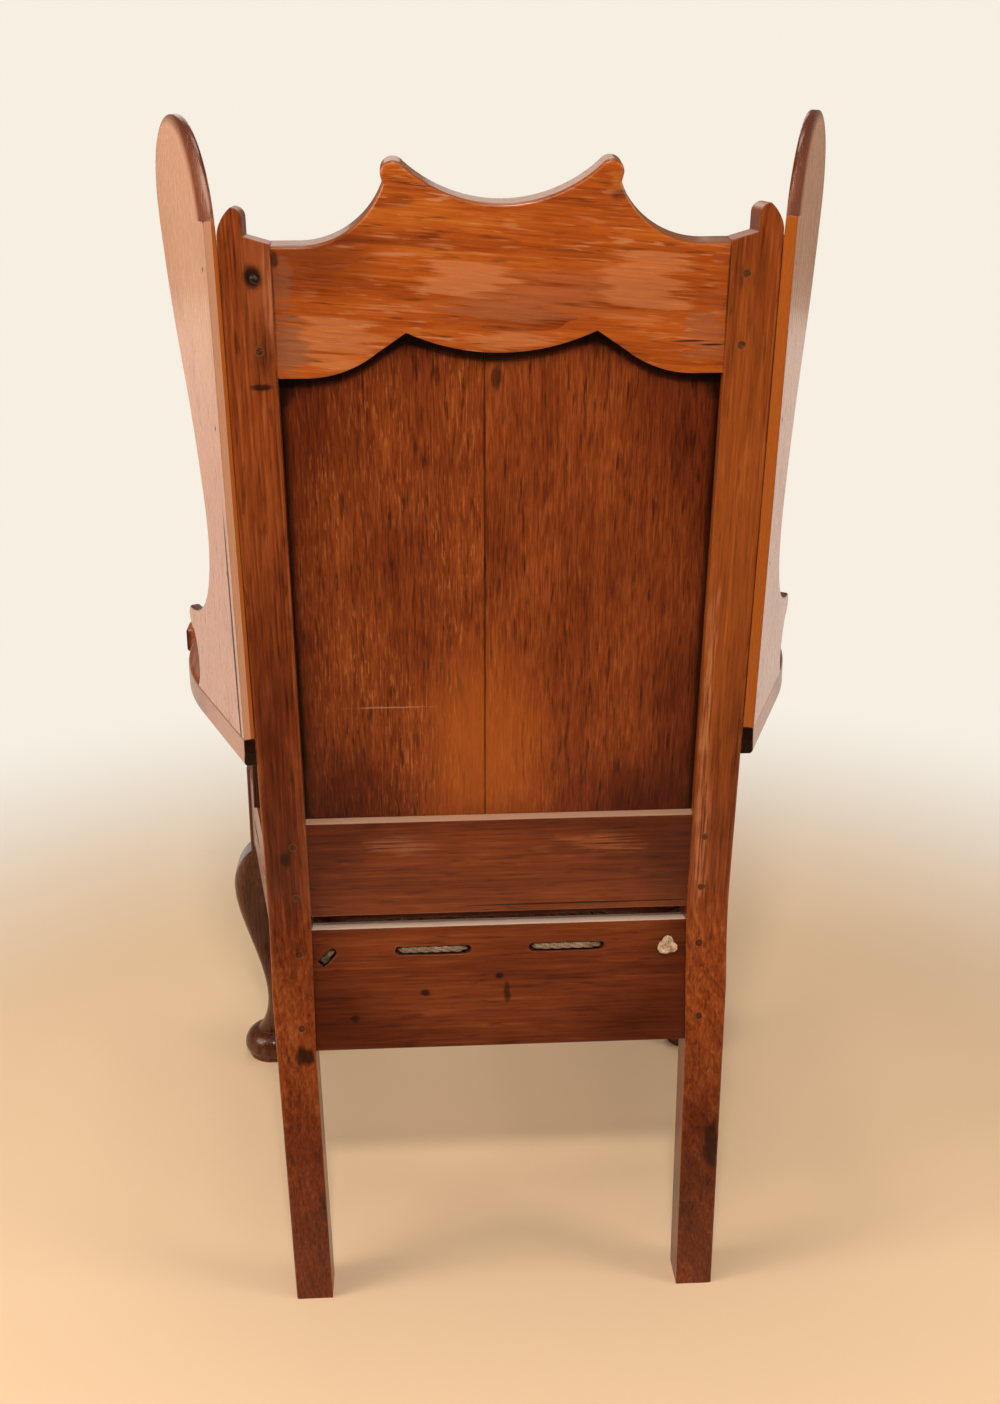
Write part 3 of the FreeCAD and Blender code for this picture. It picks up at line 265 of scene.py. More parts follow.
def waxedWood(name, **changes):
    look = {**plainWood, **changes}
    material, tree = newMaterial(name)
    place = addNode(tree, "ShaderNodeTexCoord")["Object"]
    raked = addNode(tree, "ShaderNodeMapping", {"Vector": place, "Rotation": upright})[0]
    grain = addNode(tree, "ShaderNodeMapping",
                    {"Vector": place, "Rotation": look["turn"], "Location": look["heart"]})[0]

    # growth rings round the heart, drawn out along the grain and wandering
    drawn = addNode(tree, "ShaderNodeVectorMath", {0: grain, 1: (1, 1, look["stretch"])}, operation="MULTIPLY")[0]
    wander = addNode(tree, "ShaderNodeTexNoise", {"Vector": drawn, "Scale": 1 / look["wanderWidth"], "Detail": 2})[1]
    bent = addNode(tree, "ShaderNodeVectorMath", {0: wander, 1: look["wander"], 2: drawn},
                   operation="MULTIPLY_ADD")[0]
    rings = addNode(tree, "ShaderNodeTexWave",
                    {"Vector": bent, "Scale": waveLength / look["ringWidth"], "Distortion": 2.5, "Detail": 3},
                    wave_type="RINGS", rings_direction="Z", wave_profile="SAW")[1]

    # fibres, stains and pits
    thread = addNode(tree, "ShaderNodeVectorMath", {0: grain, 1: (1, 1, look["draw"])}, operation="MULTIPLY")[0]
    fibre = addNode(tree, "ShaderNodeTexNoise", {"Vector": thread, "Scale": 1 / look["fibreWidth"], "Detail": 4,
                                                 "Roughness": 0.62})[0]
    long = addNode(tree, "ShaderNodeVectorMath", {0: grain, 1: (1, 1, look["streakDraw"])}, operation="MULTIPLY")[0]
    streak = addNode(tree, "ShaderNodeTexNoise", {"Vector": long, "Scale": 1 / look["streakWidth"], "Detail": 5,
                                                  "Roughness": 0.6})[0]
    patch = addNode(tree, "ShaderNodeVectorMath", {0: grain, 1: (1, 1, look["cloudDraw"])}, operation="MULTIPLY")[0]
    cloud = addNode(tree, "ShaderNodeTexNoise", {"Vector": patch, "Scale": 1 / look["cloudWidth"], "Detail": 5,
                                                 "Roughness": 0.58})[0]
    dash = addNode(tree, "ShaderNodeVectorMath", {0: grain, 1: (1, 1, look["poreDraw"])}, operation="MULTIPLY")[0]
    pore = addNode(tree, "ShaderNodeTexNoise", {"Vector": dash, "Scale": 1 / look["poreWidth"], "Detail": 2})[0]
    pit = addNode(tree, "ShaderNodeMapRange", {"Value": pore, "From Min": 0.6, "From Max": 0.72})[0]

    middle = 0.5 - (look["rings"] + look["fibres"] + look["streaks"] + look["clouds"]) / 2
    tone = addNode(tree, "ShaderNodeMath", {0: rings, 1: look["rings"], 2: middle}, operation="MULTIPLY_ADD")[0]
    tone = addNode(tree, "ShaderNodeMath", {0: fibre, 1: look["fibres"], 2: tone}, operation="MULTIPLY_ADD")[0]
    tone = addNode(tree, "ShaderNodeMath", {0: streak, 1: look["streaks"], 2: tone}, operation="MULTIPLY_ADD")[0]
    tone = addNode(tree, "ShaderNodeMath", {0: cloud, 1: look["clouds"], 2: tone}, operation="MULTIPLY_ADD")[0]
    colour = addNode(tree, "ShaderNodeValToRGB", {"Fac": tone}, stops=look["tones"])[0]
    pitMask = addNode(tree, "ShaderNodeMath", {0: pit, 1: look["pitShare"]}, operation="MULTIPLY")[0]
    colour = addNode(tree, "ShaderNodeMix", {0: pitMask, 6: colour, 7: hexColour(look["pits"])}, data_type="RGBA")[2]

    rough = addNode(tree, "ShaderNodeMath", {0: fibre, 1: 0.3, 2: look["dull"] - 0.15}, operation="MULTIPLY_ADD")[0]
    if "flecks" in look:  # rays of quartered oak, pale dashes along the grain
        spread = addNode(tree, "ShaderNodeVectorMath", {0: grain, 1: look["fleckGrid"]}, operation="MULTIPLY")[0]
        ray = addNode(tree, "ShaderNodeTexNoise", {"Vector": spread, "Scale": 1, "Detail": 1})[0]
        ray = addNode(tree, "ShaderNodeMapRange", {"Value": ray, "From Min": 0.6, "From Max": 0.68})[0]
        drift = addNode(tree, "ShaderNodeMapRange", {"Value": cloud, "From Min": 0.38, "From Max": 0.6})[0]
        ray = addNode(tree, "ShaderNodeMath", {0: ray, 1: drift}, operation="MULTIPLY")[0]
        ray = addNode(tree, "ShaderNodeMath", {0: ray, 1: look["fleckShare"]}, operation="MULTIPLY")[0]
        colour = addNode(tree, "ShaderNodeMix", {0: ray, 6: colour, 7: hexColour(look["flecks"])},
                         data_type="RGBA")[2]

    shine, coat = look["shine"], look["coat"]
    for mark in look["marks"]:
        mark = {**defaultMark, **mark}
        mask = markMask(tree, raked if mark["raked"] else place, long if mark["feathered"] else patch, mark)
        if mark["broken"]:
            skip = addNode(tree, "ShaderNodeMapRange", {"Value": fibre, "From Min": 0.42, "From Max": 0.56})[0]
            mask = addNode(tree, "ShaderNodeMath", {0: mask, 1: skip}, operation="MULTIPLY")[0]
        colour = addNode(tree, "ShaderNodeMix", {0: mask, 6: colour, 7: hexColour(mark["colour"])},
                         data_type="RGBA", blend_type=mark["blend"])[2]
        if mark["open"]:
            shut = addNode(tree, "ShaderNodeMath", {0: 1.0, 1: mask}, operation="SUBTRACT")[0]
            shine = addNode(tree, "ShaderNodeMath", {0: shut, 1: shine}, operation="MULTIPLY")[0]
            coat = addNode(tree, "ShaderNodeMath", {0: shut, 1: coat}, operation="MULTIPLY")[0]
        if mark["dulled"]:
            rough = addNode(tree, "ShaderNodeMath", {0: mask, 1: mark["dulled"], 2: rough},
                            operation="MULTIPLY_ADD")[0]

    if "corner" in look:  # painted shade: darkened where another piece stands over this one, found by occlusion tilted upward
        face = addNode(tree, "ShaderNodeNewGeometry")["Normal"]
        tilted = addNode(tree, "ShaderNodeVectorMath", {0: face, 1: look["cornerTilt"]}, operation="ADD")[0]
        tilted = addNode(tree, "ShaderNodeVectorMath", {0: tilted}, operation="NORMALIZE")[0]
        clear = addNode(tree, "ShaderNodeAmbientOcclusion", {"Distance": look["cornerReach"], "Normal": tilted},
                        samples=16)["AO"]
        bare, filled = look["cornerOpen"]
        mask = addNode(tree, "ShaderNodeMapRange", {"Value": clear, "From Min": bare, "From Max": filled,
                                                    "To Max": look["cornerShare"]})[0]
        colour = addNode(tree, "ShaderNodeMix", {0: mask, 6: colour, 7: hexColour(look["corner"])},
                         data_type="RGBA")[2]

    for wear in look["facing"]:  # faces turned one way, worn or stained alike
        normal = addNode(tree, "ShaderNodeTexCoord")["Normal"]
        turned = addNode(tree, "ShaderNodeVectorMath", {0: normal, 1: wear["axis"]}, operation="DOT_PRODUCT")[1]
        if wear["axis"][0]:  # both sides of a board
            turned = addNode(tree, "ShaderNodeMath", {0: turned}, operation="ABSOLUTE")[0]
        mask = addNode(tree, "ShaderNodeMapRange", {"Value": turned, "From Min": wear["from"], "From Max": wear["to"],
                                                    "To Max": wear["share"]})[0]
        if "beyond" in wear:  # only past a plane
            way, far = wear["beyond"]
            depth = addNode(tree, "ShaderNodeVectorMath", {0: place, 1: way}, operation="DOT_PRODUCT")[1]
            past = addNode(tree, "ShaderNodeMath", {0: depth, 1: far}, operation="GREATER_THAN")[0]
            mask = addNode(tree, "ShaderNodeMath", {0: mask, 1: past}, operation="MULTIPLY")[0]
        if "fades" in wear:  # going out along the piece, with a cloudy end
            way, gone, full, ragged = wear["fades"]
            run = addNode(tree, "ShaderNodeVectorMath", {0: place, 1: way}, operation="DOT_PRODUCT")[1]
            run = addNode(tree, "ShaderNodeMath", {0: cloud, 1: ragged, 2: run}, operation="MULTIPLY_ADD")[0]
            left = addNode(tree, "ShaderNodeMapRange", {"Value": run, "From Min": gone, "From Max": full})[0]
            mask = addNode(tree, "ShaderNodeMath", {0: mask, 1: left}, operation="MULTIPLY")[0]
        colour = addNode(tree, "ShaderNodeMix", {0: mask, 6: colour, 7: hexColour(wear["colour"])},
                         data_type="RGBA")[2]

    # worn arrises
    soft = addNode(tree, "ShaderNodeBevel", {"Radius": look["edge"]}, samples=6)[0]
    face = addNode(tree, "ShaderNodeNewGeometry")["True Normal"]
    facing = addNode(tree, "ShaderNodeVectorMath", {0: soft, 1: face}, operation="DOT_PRODUCT")[1]
    rubbed = addNode(tree, "ShaderNodeMapRange", {"Value": facing, "From Min": 0.99, "From Max": 0.8,
                                                  "To Max": look["rubbedShare"]})[0]
    rubbed = addNode(tree, "ShaderNodeMath", {0: rubbed, 1: cloud}, operation="MULTIPLY")[0]
    colour = addNode(tree, "ShaderNodeMix", {0: rubbed, 6: colour, 7: hexColour(look["rubbed"])}, data_type="RGBA")[2]

    height = addNode(tree, "ShaderNodeMath", {0: pit, 1: look["pitRelief"], 2: fibre}, operation="MULTIPLY_ADD")[0]
    height = addNode(tree, "ShaderNodeMath", {0: cloud, 1: look["cloudRelief"], 2: height},
                     operation="MULTIPLY_ADD")[0]
    normal = addNode(tree, "ShaderNodeBump", {"Height": height, "Strength": look["reliefShare"],
                                              "Distance": look["relief"], "Normal": soft})[0]
    wood = addNode(tree, "ShaderNodeBsdfPrincipled",
                   {"Base Color": colour, "Roughness": rough, "Specular IOR Level": shine,
                    "Coat Weight": coat, "Coat Roughness": look["coatRough"], "Normal": normal})[0]
    addNode(tree, "ShaderNodeOutputMaterial", {"Surface": wood})
    return material


paleScuff = {"colour": "#bd7a55", "strength": 0.55, "soft": 0.22, "ragged": 1.7, "ragWidth": 0.016, "dulled": 0.1}
darkSpot = {"colour": "#1c0b05", "strength": 0.85, "ragged": 1.1, "ragWidth": 0.008}
rubStreak = {**paleScuff, "broken": True, "soft": 0.7}
# darkens by multiplying; used both for painted shade and for plainly darker parts
darkening = {"blend": "MULTIPLY", "strength": 0.8, "soft": 0.6}
bareWood = {"colour": "#c87e4e", "strength": 0.5, "soft": 0.34, "ragged": 2.6, "ragWidth": 0.006, "dulled": 0.1,
            "feathered": True}


def spot(kind, at, size, **changes):  # one mark of a kind, in its place
    return {**kind, "at": at, "size": size, **changes}


crestJoint = {"size": (0.0028, 0.1, 0.09), "colour": "#1e0b05", "strength": 0.9, "soft": 0.7, "ragged": 0.3,
              "open": True}
crestTilt = 0.09  # the crest's grain runs a little uphill

crestWood = waxedWood(  # pale flat sawn fruitwood, its wax worn through in patches along the lower lobes
    "crestFruitwood", turn=(0, crestTilt - math.pi / 2, 0), heart=(0.95, 0.42, 0.2), ringWidth=0.016, rings=0.2,
    streaks=0.7, clouds=0.7, fibres=0.9,
    tones=((0.1, "#5c2406"), (0.38, "#98440e"), (0.6, "#ad5414"), (0.9, "#c07028")),
    rubbed="#c98a5a", rubbedShare=0.5, edge=0.002, flecks="#c98c62", fleckGrid=(420, 60, 40), fleckShare=0.55,
    # painted shade: up-facing rims darker
    facing=({"axis": (0, 0, 1), "from": 0.25, "to": 0.6, "colour": "#74421c", "share": 0.85},),
    marks=(
        {"at": (0.16, 0.3, 1.11), "size": (0.075, 0.1, 0.05), "colour": "#6a2c0a", "strength": 0.75, "soft": 0.9},
        spot(bareWood, (-0.04, 0.3, 1.076), (0.1, 0.1, 0.022), colour="#b4683e", strength=0.5, soft=0.6),
        spot(bareWood, (0.146, 0.3, 1.038), (0.042, 0.1, 0.026)),
        spot(bareWood, (0.186, 0.3, 1.034), (0.02, 0.1, 0.028), colour="#8e573c", strength=0.75),
        spot(bareWood, (0.192, 0.3, 1.085), (0.013, 0.1, 0.03), colour="#8a553c"),
        spot(bareWood, (0.035, 0.3, 1.09), (0.048, 0.1, 0.02), strength=0.6),
        spot(bareWood, (-0.006, 0.3, 1.037), (0.045, 0.1, 0.01)),
        spot(bareWood, (-0.015, 0.3, 1.06), (0.08, 0.1, 0.011), colour="#9c5c38", strength=0.6),
        spot(bareWood, (-0.122, 0.3, 1.088), (0.042, 0.1, 0.034)),
        spot(bareWood, (-0.18, 0.3, 1.045), (0.024, 0.1, 0.034), colour="#94583c"),
        spot(bareWood, (-0.1, 0.33, 1.172), (0.012, 0.1, 0.008), colour="#b9762e", strength=0.4),
        spot(rubStreak, (0.105, 0.3, 1.128), (0.026, 0.1, 0.004), strength=0.8),
        spot(rubStreak, (0.09, 0.3, 1.112), (0.024, 0.1, 0.0035), strength=0.8),
        spot(rubStreak, (0.132, 0.3, 1.119), (0.02, 0.1, 0.0035), strength=0.7),
        spot(rubStreak, (0.1, 0.3, 1.065), (0.05, 0.1, 0.006), strength=0.7),
        spot(darkSpot, (0.088, 0.33, 1.157), (0.016, 0.1, 0.006), strength=0.6, broken=True),
        spot(darkSpot, (-0.1, 0.33, 1.16), (0.012, 0.1, 0.006), strength=0.5),
        spot(darkSpot, (0.195, 0.31, 1.108), (0.005, 0.1, 0.01), strength=0.7),
        spot(darkSpot, (-0.166, 0.3, 1.034), (0.02, 0.1, 0.0012), ragged=0.6),  # shake
        spot(darkSpot, (-0.187, 0.3, 1.0305), (0.016, 0.1, 0.0012), ragged=0.6),
        {**crestJoint, "at": (-0.1985, 0.31, 1.08)},
        {**crestJoint, "at": (0.1985, 0.31, 1.08), "strength": 0.6},
    ))

postWood = waxedWood(  # straight grained sticks, stained round the nails and dark towards the feet
    "postFruitwood", heart=(0.34, 0.1, 0.2),
    marks=(
        {"at": (0.205, 0.31, 1.09), "size": (0.03, 0.1, 0.1), "colour": "#a35a30", "strength": 0.45, "soft": 0.8},
        spot(darkSpot, (0.209, 0.3, 1.035), (0.014, 0.1, 0.04), strength=0.8, broken=True, soft=0.8),
        spot(darkSpot, (0.212, 0.3, 0.998), (0.014, 0.1, 0.004)),
        spot(darkSpot, (0.214, 0.318, 1.0945), (0.0105, 0.1, 0.0145), ragged=0.4, strength=0.95),
        spot(darkSpot, (0.221, 0.2, 0.505), (0.008, 0.1, 0.014), strength=0.7),
        spot(darkSpot, (0.21, 0.21, 0.277), (0.012, 0.1, 0.014)),
        spot(darkSpot, (-0.226, 0.226, 0.16), (0.012, 0.1, 0.035), strength=0.75),
        spot(rubStreak, (-0.204, 0.24, 0.7), (0.008, 0.1, 0.14), colour="#cf9068"),
        spot(rubStreak, (-0.208, 0.22, 0.52), (0.01, 0.1, 0.14), colour="#c98860"),
        spot(rubStreak, (0.2, 0.3, 1.08), (0.008, 0.1, 0.06), colour="#b97552"),
        {"at": (-0.215, 0.27, 0.82), "size": (0.05, 0.2, 0.45), "colour": "#b4641f", "strength": 0.28, "soft": 0.8},
        # painted shade on the left post's middle
        spot(darkening, (0.222, 0.2, 0.56), (0.04, 0.2, 0.42), colour="#a07c66", strength=0.9, soft=0.9),
        spot(darkening, (-0.22, 0.23, 0.1), (0.06, 0.2, 0.22), colour="#9c7c68"),
        spot(darkening, (0.22, 0.23, 0.1), (0.06, 0.2, 0.22), colour="#b09280"),
    ))

# darker towards both ends of the rails
railEndDarkening = spot(darkening, (0.0, 0.2, 0.42), (0.22, 0.4, 0.16), colour="#b89c86", strength=0.85, soft=0.35, ragged=0.2,
                 outside=True)
rearRailWood = waxedWood(  # its top face painted pale as light falling from above
    "rearRailFruitwood", turn=across, heart=(0.32, 0.3, 0.1), rings=0.1, streaks=0.6, clouds=0.6, fibres=0.85,
    tones=((0.08, "#35130a"), (0.38, "#642b10"), (0.62, "#763716"), (0.92, "#8f4c24")), rubbed="#b98a6c",
    rubbedShare=0.12, edge=0.002,
    # painted light: the top face above the slots made pale
    facing=({"axis": (0, 0, 1), "from": 0.5, "to": 0.9, "colour": "#f0d8c6", "share": 0.95,
             "beyond": ((0, 0, 1), 0.405)},),
    marks=(
        railEndDarkening,
        spot(darkSpot, (0.001, 0.195, 0.359), (0.006, 0.1, 0.005)),
        spot(darkSpot, (-0.007, 0.198, 0.34), (0.005, 0.1, 0.014), strength=0.7),
        spot(darkSpot, (0.08, 0.197, 0.343), (0.007, 0.1, 0.005)),
        spot(darkSpot, (0.156, 0.201, 0.316), (0.007, 0.1, 0.006)),
    ))

lowRailWood = waxedWood(  # dull and dusty; its top face and arrises painted pale as a highlight
    "lowerRailFruitwood", turn=across, heart=(0.6, 0.36, 0.1), rings=0.12, streaks=0.7, clouds=0.7, fibres=0.85,
    tones=((0.08, "#35130a"), (0.38, "#6a2d10"), (0.62, "#7e3a17"), (0.92, "#9c5830")), rubbed="#d0a184",
    rubbedShare=1.0, edge=0.002,
    # painted highlight on the top face
    facing=({"axis": (0, 0, 1), "from": 0.6, "to": 0.95, "colour": "#c49c82", "share": 0.8},),
    marks=(
        railEndDarkening,
        spot(rubStreak, (0.1, 0.2, 0.515), (0.05, 0.1, 0.012), colour="#a06a52", strength=0.6),
        spot(rubStreak, (-0.1, 0.2, 0.51), (0.06, 0.1, 0.018), colour="#a8623a", strength=0.6),
        # painted shade: a thin dark line along the gap under the rail
        {"at": (-0.08, 0.19, 0.4395), "size": (0.15, 0.1, 0.0012), "colour": "#120704", "strength": 0.9, "soft": 0.3,
         "ragged": 0.6, "ragWidth": 0.03},
    ))

wingCrack = {"at": (0.256, 0.0, 0.77), "size": (0.0015, 0.4, 0.19), "colour": "#1c0a05", "strength": 0.95,
             "soft": 0.4, "ragged": 0.3, "ragWidth": 0.02, "raked": True, "open": True}
# painted reflection: pale over the outer faces
wingFaceReflection = {"size": (0.15, 0.4, 0.36), "colour": "#e6b89c", "strength": 0.75, "soft": 0.9, "ragged": 0.2}
wingBackEdge = {"axis": (0, 1, 0), "from": 0.84, "to": 0.9}
reflectingWingWood = waxedWood(  # thin smooth quartered boards; broad sides painted pale as a reflection, edges left darker
    "reflectingWingFruitwood", heart=(0.1, 0.5, 0.2), rings=0.08, streaks=0.3, clouds=0.35, fibres=0.4,
    # pale tones: painted reflection on the broad sides
    tones=((0.1, "#985a3c"), (0.4, "#b47450"), (0.64, "#c08361"), (0.9, "#cc9878")),
    dull=0.26, shine=0.35, coat=0.18, rubbed="#c98a58", rubbedShare=0.2, edge=0.002,
    marks=(
        {**wingFaceReflection, "at": (0.26, 0.2, 1.22)},
        {**wingFaceReflection, "at": (-0.26, 0.2, 1.22), "colour": "#d8ae92"},
        wingCrack,
    ),
    facing=(
        {"axis": (1, 0, 0), "from": 0.93, "to": 0.84, "colour": "#6e3010", "share": 0.95},  # all but the broad sides
        # painted shade: up-facing rims darker
        {"axis": (0, 0, 1), "from": 0.08, "to": 0.3, "colour": "#552209", "share": 0.95},
        {**wingBackEdge, "colour": "#a8591c", "share": 0.9},
        # the outer part of the back edge painted pale like the reflecting sides
        {**wingBackEdge, "colour": "#c4957a", "share": 0.95, "beyond": ((0.939, 0.3382, -0.0633), 0.2688)},
    ))
wedgeWood = waxedWood("wedgeFruitwood", heart=(0.1, 0.5, 0.2), rubbedShare=0.9)  # thin strips, worn at the arris
armSideReflection = {"axis": (1, 0, 0), "from": 0.8, "to": 0.93, "colour": "#b98668", "share": 0.75,
           "fades": ((0, 1, 0), 0.03, 0.16, 0.05)}  # painted reflection: outer sides pale, fading out along the arm
armWood = waxedWood(  # grain fore and aft, worn round the hands
    "armFruitwood", turn=foreAft, heart=(0.2, 0.1, -0.55), rubbedShare=0.9,
    facing=(
        {"axis": (0, 1, 0), "from": 0.8, "to": 0.95, "colour": "#080302", "share": 0.95},  # painted shade: back ends nearly black
        {**armSideReflection, "beyond": ((0.941, 0.339, 0), 0.31)},
        {**armSideReflection, "beyond": ((-0.941, 0.339, 0), 0.31)},
    ))
shadedLegWood = waxedWood(  # carved legs, arm supports and brackets, nearly black with old polish and with painted shade
    "shadedLegFruitwood", turn=(0, 0, 0), heart=(0.2, 0.2, 0.0), dull=0.3,
    tones=((0.1, "#1e0a04"), (0.38, "#421b09"), (0.6, "#52250d"), (0.9, "#703c1f")))
frontRailWood = waxedWood("frontRailFruitwood", turn=across, heart=(0.4, 0.5, 0.1))  # plain, grain along the rail
sideRailWood = waxedWood("sideRailFruitwood", turn=foreAft, heart=(0.2, 0.5, -0.3))
pegWood = waxedWood(  # riven oak, dark at the end grain
    "pegOakEndGrain", turn=foreAft, heart=(0.0, 0.0, 0.0), ringWidth=0.002, rings=0.5,
    tones=((0.1, "#2a1208"), (0.5, "#552a14"), (0.9, "#7e4824")))

# painted shade along the panel's borders, by the posts and under the crest
panelBorderShade = spot(darkening, (0, 0.24, 0.77), (0.225, 0.6, 0.36), colour="#b08c74", strength=0.7, soft=0.35, ragged=0.25,
                  ragWidth=0.06, outside=True)
# painted pool of light on the panel's lower middle
panelLightPool = {"at": (0.02, 0.22, 0.62), "size": (0.09, 0.4, 0.17), "colour": "#b85f1c", "strength": 0.6, "soft": 1.0,
             "ragged": 0.6, "ragWidth": 0.05}
# darker in the panel's lower corners
panelFootDarkening = {**darkening, "size": (0.09, 0.2, 0.08), "colour": "#b08a72", "soft": 0.9}
oakTones = ((0.08, "#3c1506"), (0.38, "#712e0c"), (0.6, "#883e12"), (0.92, "#a8591f"))
plankJoint = {"at": (0.0148, 0.24, 0.77), "size": (0.0016, 0.4, 0.5), "colour": "#240e05", "strength": 0.6,
              "soft": 0.6, "ragged": 0.3, "ragWidth": 0.03, "open": True}
oak = {"rings": 0.08, "fibreWidth": 0.0013, "fibres": 1.25, "streaks": 0.5, "clouds": 0.6, "tones": oakTones,
       "pitShare": 0.7, "edge": 0.0003, "draw": 0.06, "corner": "#0c0402", "cornerReach": 0.03,
       "cornerTilt": (0, 0, 0.9), "cornerOpen": (0.7, 0.56), "cornerShare": 0.93}  # painted shade under what stands over it

leftOak = waxedWood(  # quartered oak: straight open grain crossed by pale ray flecks
    "leftPlankOak", heart=(0.9, 0.08, 0.1), **oak, flecks="#bf7338", fleckGrid=(700, 60, 66), fleckShare=0.6,
    marks=(panelLightPool, panelBorderShade, plankJoint, {**panelFootDarkening, "at": (0.14, 0.2, 0.57)},
           spot(rubStreak, (0.113, 0.224, 0.672), (0.05, 0.1, 0.0013), colour="#b98a66", ragWidth=0.02,
                broken=False)))
rightOak = waxedWood(  # the same, darker and with fewer flecks
    "rightPlankOak", heart=(0.7, 0.1, 0.4), **oak, flecks="#a9602c", fleckGrid=(640, 60, 50), fleckShare=0.4,
    marks=(panelLightPool, panelBorderShade, plankJoint, {**panelFootDarkening, "at": (-0.14, 0.2, 0.56)},
           spot(darkSpot, (0.004, 0.287, 1.0), (0.007, 0.1, 0.016), strength=0.7)))


dentWidth = 0.003  # hammer marks


def forgedIron():  # hammered nails and pin, black and dry with brown rust in the hollows
    material, tree = newMaterial("forgedIron")
    place = addNode(tree, "ShaderNodeTexCoord")["Object"]
    dents = addNode(tree, "ShaderNodeTexNoise", {"Vector": place, "Scale": 1 / dentWidth, "Detail": 4})[0]
    colour = addNode(tree, "ShaderNodeValToRGB", {"Fac": dents},
                     stops=((0.35, "#2a211c"), (0.55, "#4f463f"), (0.75, "#7a6c60")))[0]
    rough = addNode(tree, "ShaderNodeMapRange", {"Value": dents, "To Min": 0.75, "To Max": 0.4})[0]
    normal = addNode(tree, "ShaderNodeBump", {"Height": dents, "Strength": 0.5, "Distance": 0.0006})[0]
    metal = addNode(tree, "ShaderNodeBsdfPrincipled",
                    {"Base Color": colour, "Metallic": 0.8, "Roughness": rough, "Normal": normal})[0]
    addNode(tree, "ShaderNodeOutputMaterial", {"Surface": metal})
    return material


tailShade = {"at": (0.187, 0.19, 0.381), "size": (0.014, 0.03, 0.014), "colour": "#17100c"}  # painted shade where the tail sinks into its slot
hempFibre, hempAge = 0.0012, 0.02  # widths of the broken fibres and of the grey and pale stretches


def hempRope(name, shades):  # old hemp, grey outside with paler broken fibres
    material, tree = newMaterial(name)
    place = addNode(tree, "ShaderNodeTexCoord")["Object"]
    hair = addNode(tree, "ShaderNodeTexNoise", {"Vector": place, "Scale": 1 / hempFibre, "Detail": 3})[0]
    age = addNode(tree, "ShaderNodeTexNoise", {"Vector": place, "Scale": 1 / hempAge, "Detail": 2})[0]
    tone = addNode(tree, "ShaderNodeMath", {0: hair, 1: 0.9, 2: -0.2}, operation="MULTIPLY_ADD")[0]
    tone = addNode(tree, "ShaderNodeMath", {0: age, 1: 0.5, 2: tone}, operation="MULTIPLY_ADD")[0]
    colour = addNode(tree, "ShaderNodeValToRGB", {"Fac": tone}, stops=shades)[0]
    # painted shade over the tail's end
    tailShaded = markMask(tree, place, place, {**defaultMark, **tailShade})
    colour = addNode(tree, "ShaderNodeMix", {0: tailShaded, 6: colour, 7: hexColour(tailShade["colour"])},
                     data_type="RGBA")[2]
    normal = addNode(tree, "ShaderNodeBump", {"Height": hair, "Strength": 0.6, "Distance": 0.0005})[0]
    hemp = addNode(tree, "ShaderNodeBsdfPrincipled",
                   {"Base Color": colour, "Roughness": 0.85, "Sheen Weight": 0.25, "Normal": normal})[0]
    addNode(tree, "ShaderNodeOutputMaterial", {"Surface": hemp})
    return material


weave = {"thread": 0.003, "fade": 0.09, "slub": 0.004}  # true threads are about 1 mm, these are drawn to show


def wovenWool(name, dark, light):  # plain woven wool, dull and a little faded
    material, tree = newMaterial(name)
    place = addNode(tree, "ShaderNodeTexCoord")["Object"]
    scale = waveLength / weave["thread"]
    warp = addNode(tree, "ShaderNodeTexWave", {"Vector": place, "Scale": scale, "Distortion": 1.5, "Detail": 1},
                   bands_direction="X")[1]
    weft = addNode(tree, "ShaderNodeTexWave", {"Vector": place, "Scale": scale, "Distortion": 1.5, "Detail": 1},
                   bands_direction="Y")[1]
    threads = addNode(tree, "ShaderNodeMath", {0: warp, 1: weft}, operation="MAXIMUM")[0]
    fade = addNode(tree, "ShaderNodeTexNoise", {"Vector": place, "Scale": 1 / weave["fade"], "Detail": 4})[0]
    tone = addNode(tree, "ShaderNodeMath", {0: threads, 1: 0.35, 2: -0.55}, operation="MULTIPLY_ADD")[0]
    tone = addNode(tree, "ShaderNodeMath", {0: fade, 1: 0.7, 2: tone}, operation="MULTIPLY_ADD")[0]
    for run in ((0.06, 1, 0.3), (1, 0.06, 0.3)):  # uneven hand spun yarn, thick and thin along each thread
        drawn = addNode(tree, "ShaderNodeVectorMath", {0: place, 1: run}, operation="MULTIPLY")[0]
        slub = addNode(tree, "ShaderNodeTexNoise", {"Vector": drawn, "Scale": 1 / weave["slub"], "Detail": 2})[0]
        tone = addNode(tree, "ShaderNodeMath", {0: slub, 1: 0.6, 2: tone}, operation="MULTIPLY_ADD")[0]
    colour = addNode(tree, "ShaderNodeValToRGB", {"Fac": tone}, stops=((0.2, dark), (0.8, light)))[0]
    normal = addNode(tree, "ShaderNodeBump", {"Height": tone, "Strength": 0.6, "Distance": 0.001})[0]
    wool = addNode(tree, "ShaderNodeBsdfPrincipled",
                   {"Base Color": colour, "Roughness": 0.95, "Specular IOR Level": 0.12, "Sheen Weight": 0.15,
                    "Sheen Roughness": 0.6, "Normal": normal})[0]
    addNode(tree, "ShaderNodeOutputMaterial", {"Surface": wool})
    return material


iron = forgedIron()
rope = hempRope("hempRope", ((0.25, "#4c3a2b"), (0.5, "#7d6750"), (0.75, "#b09a80")))
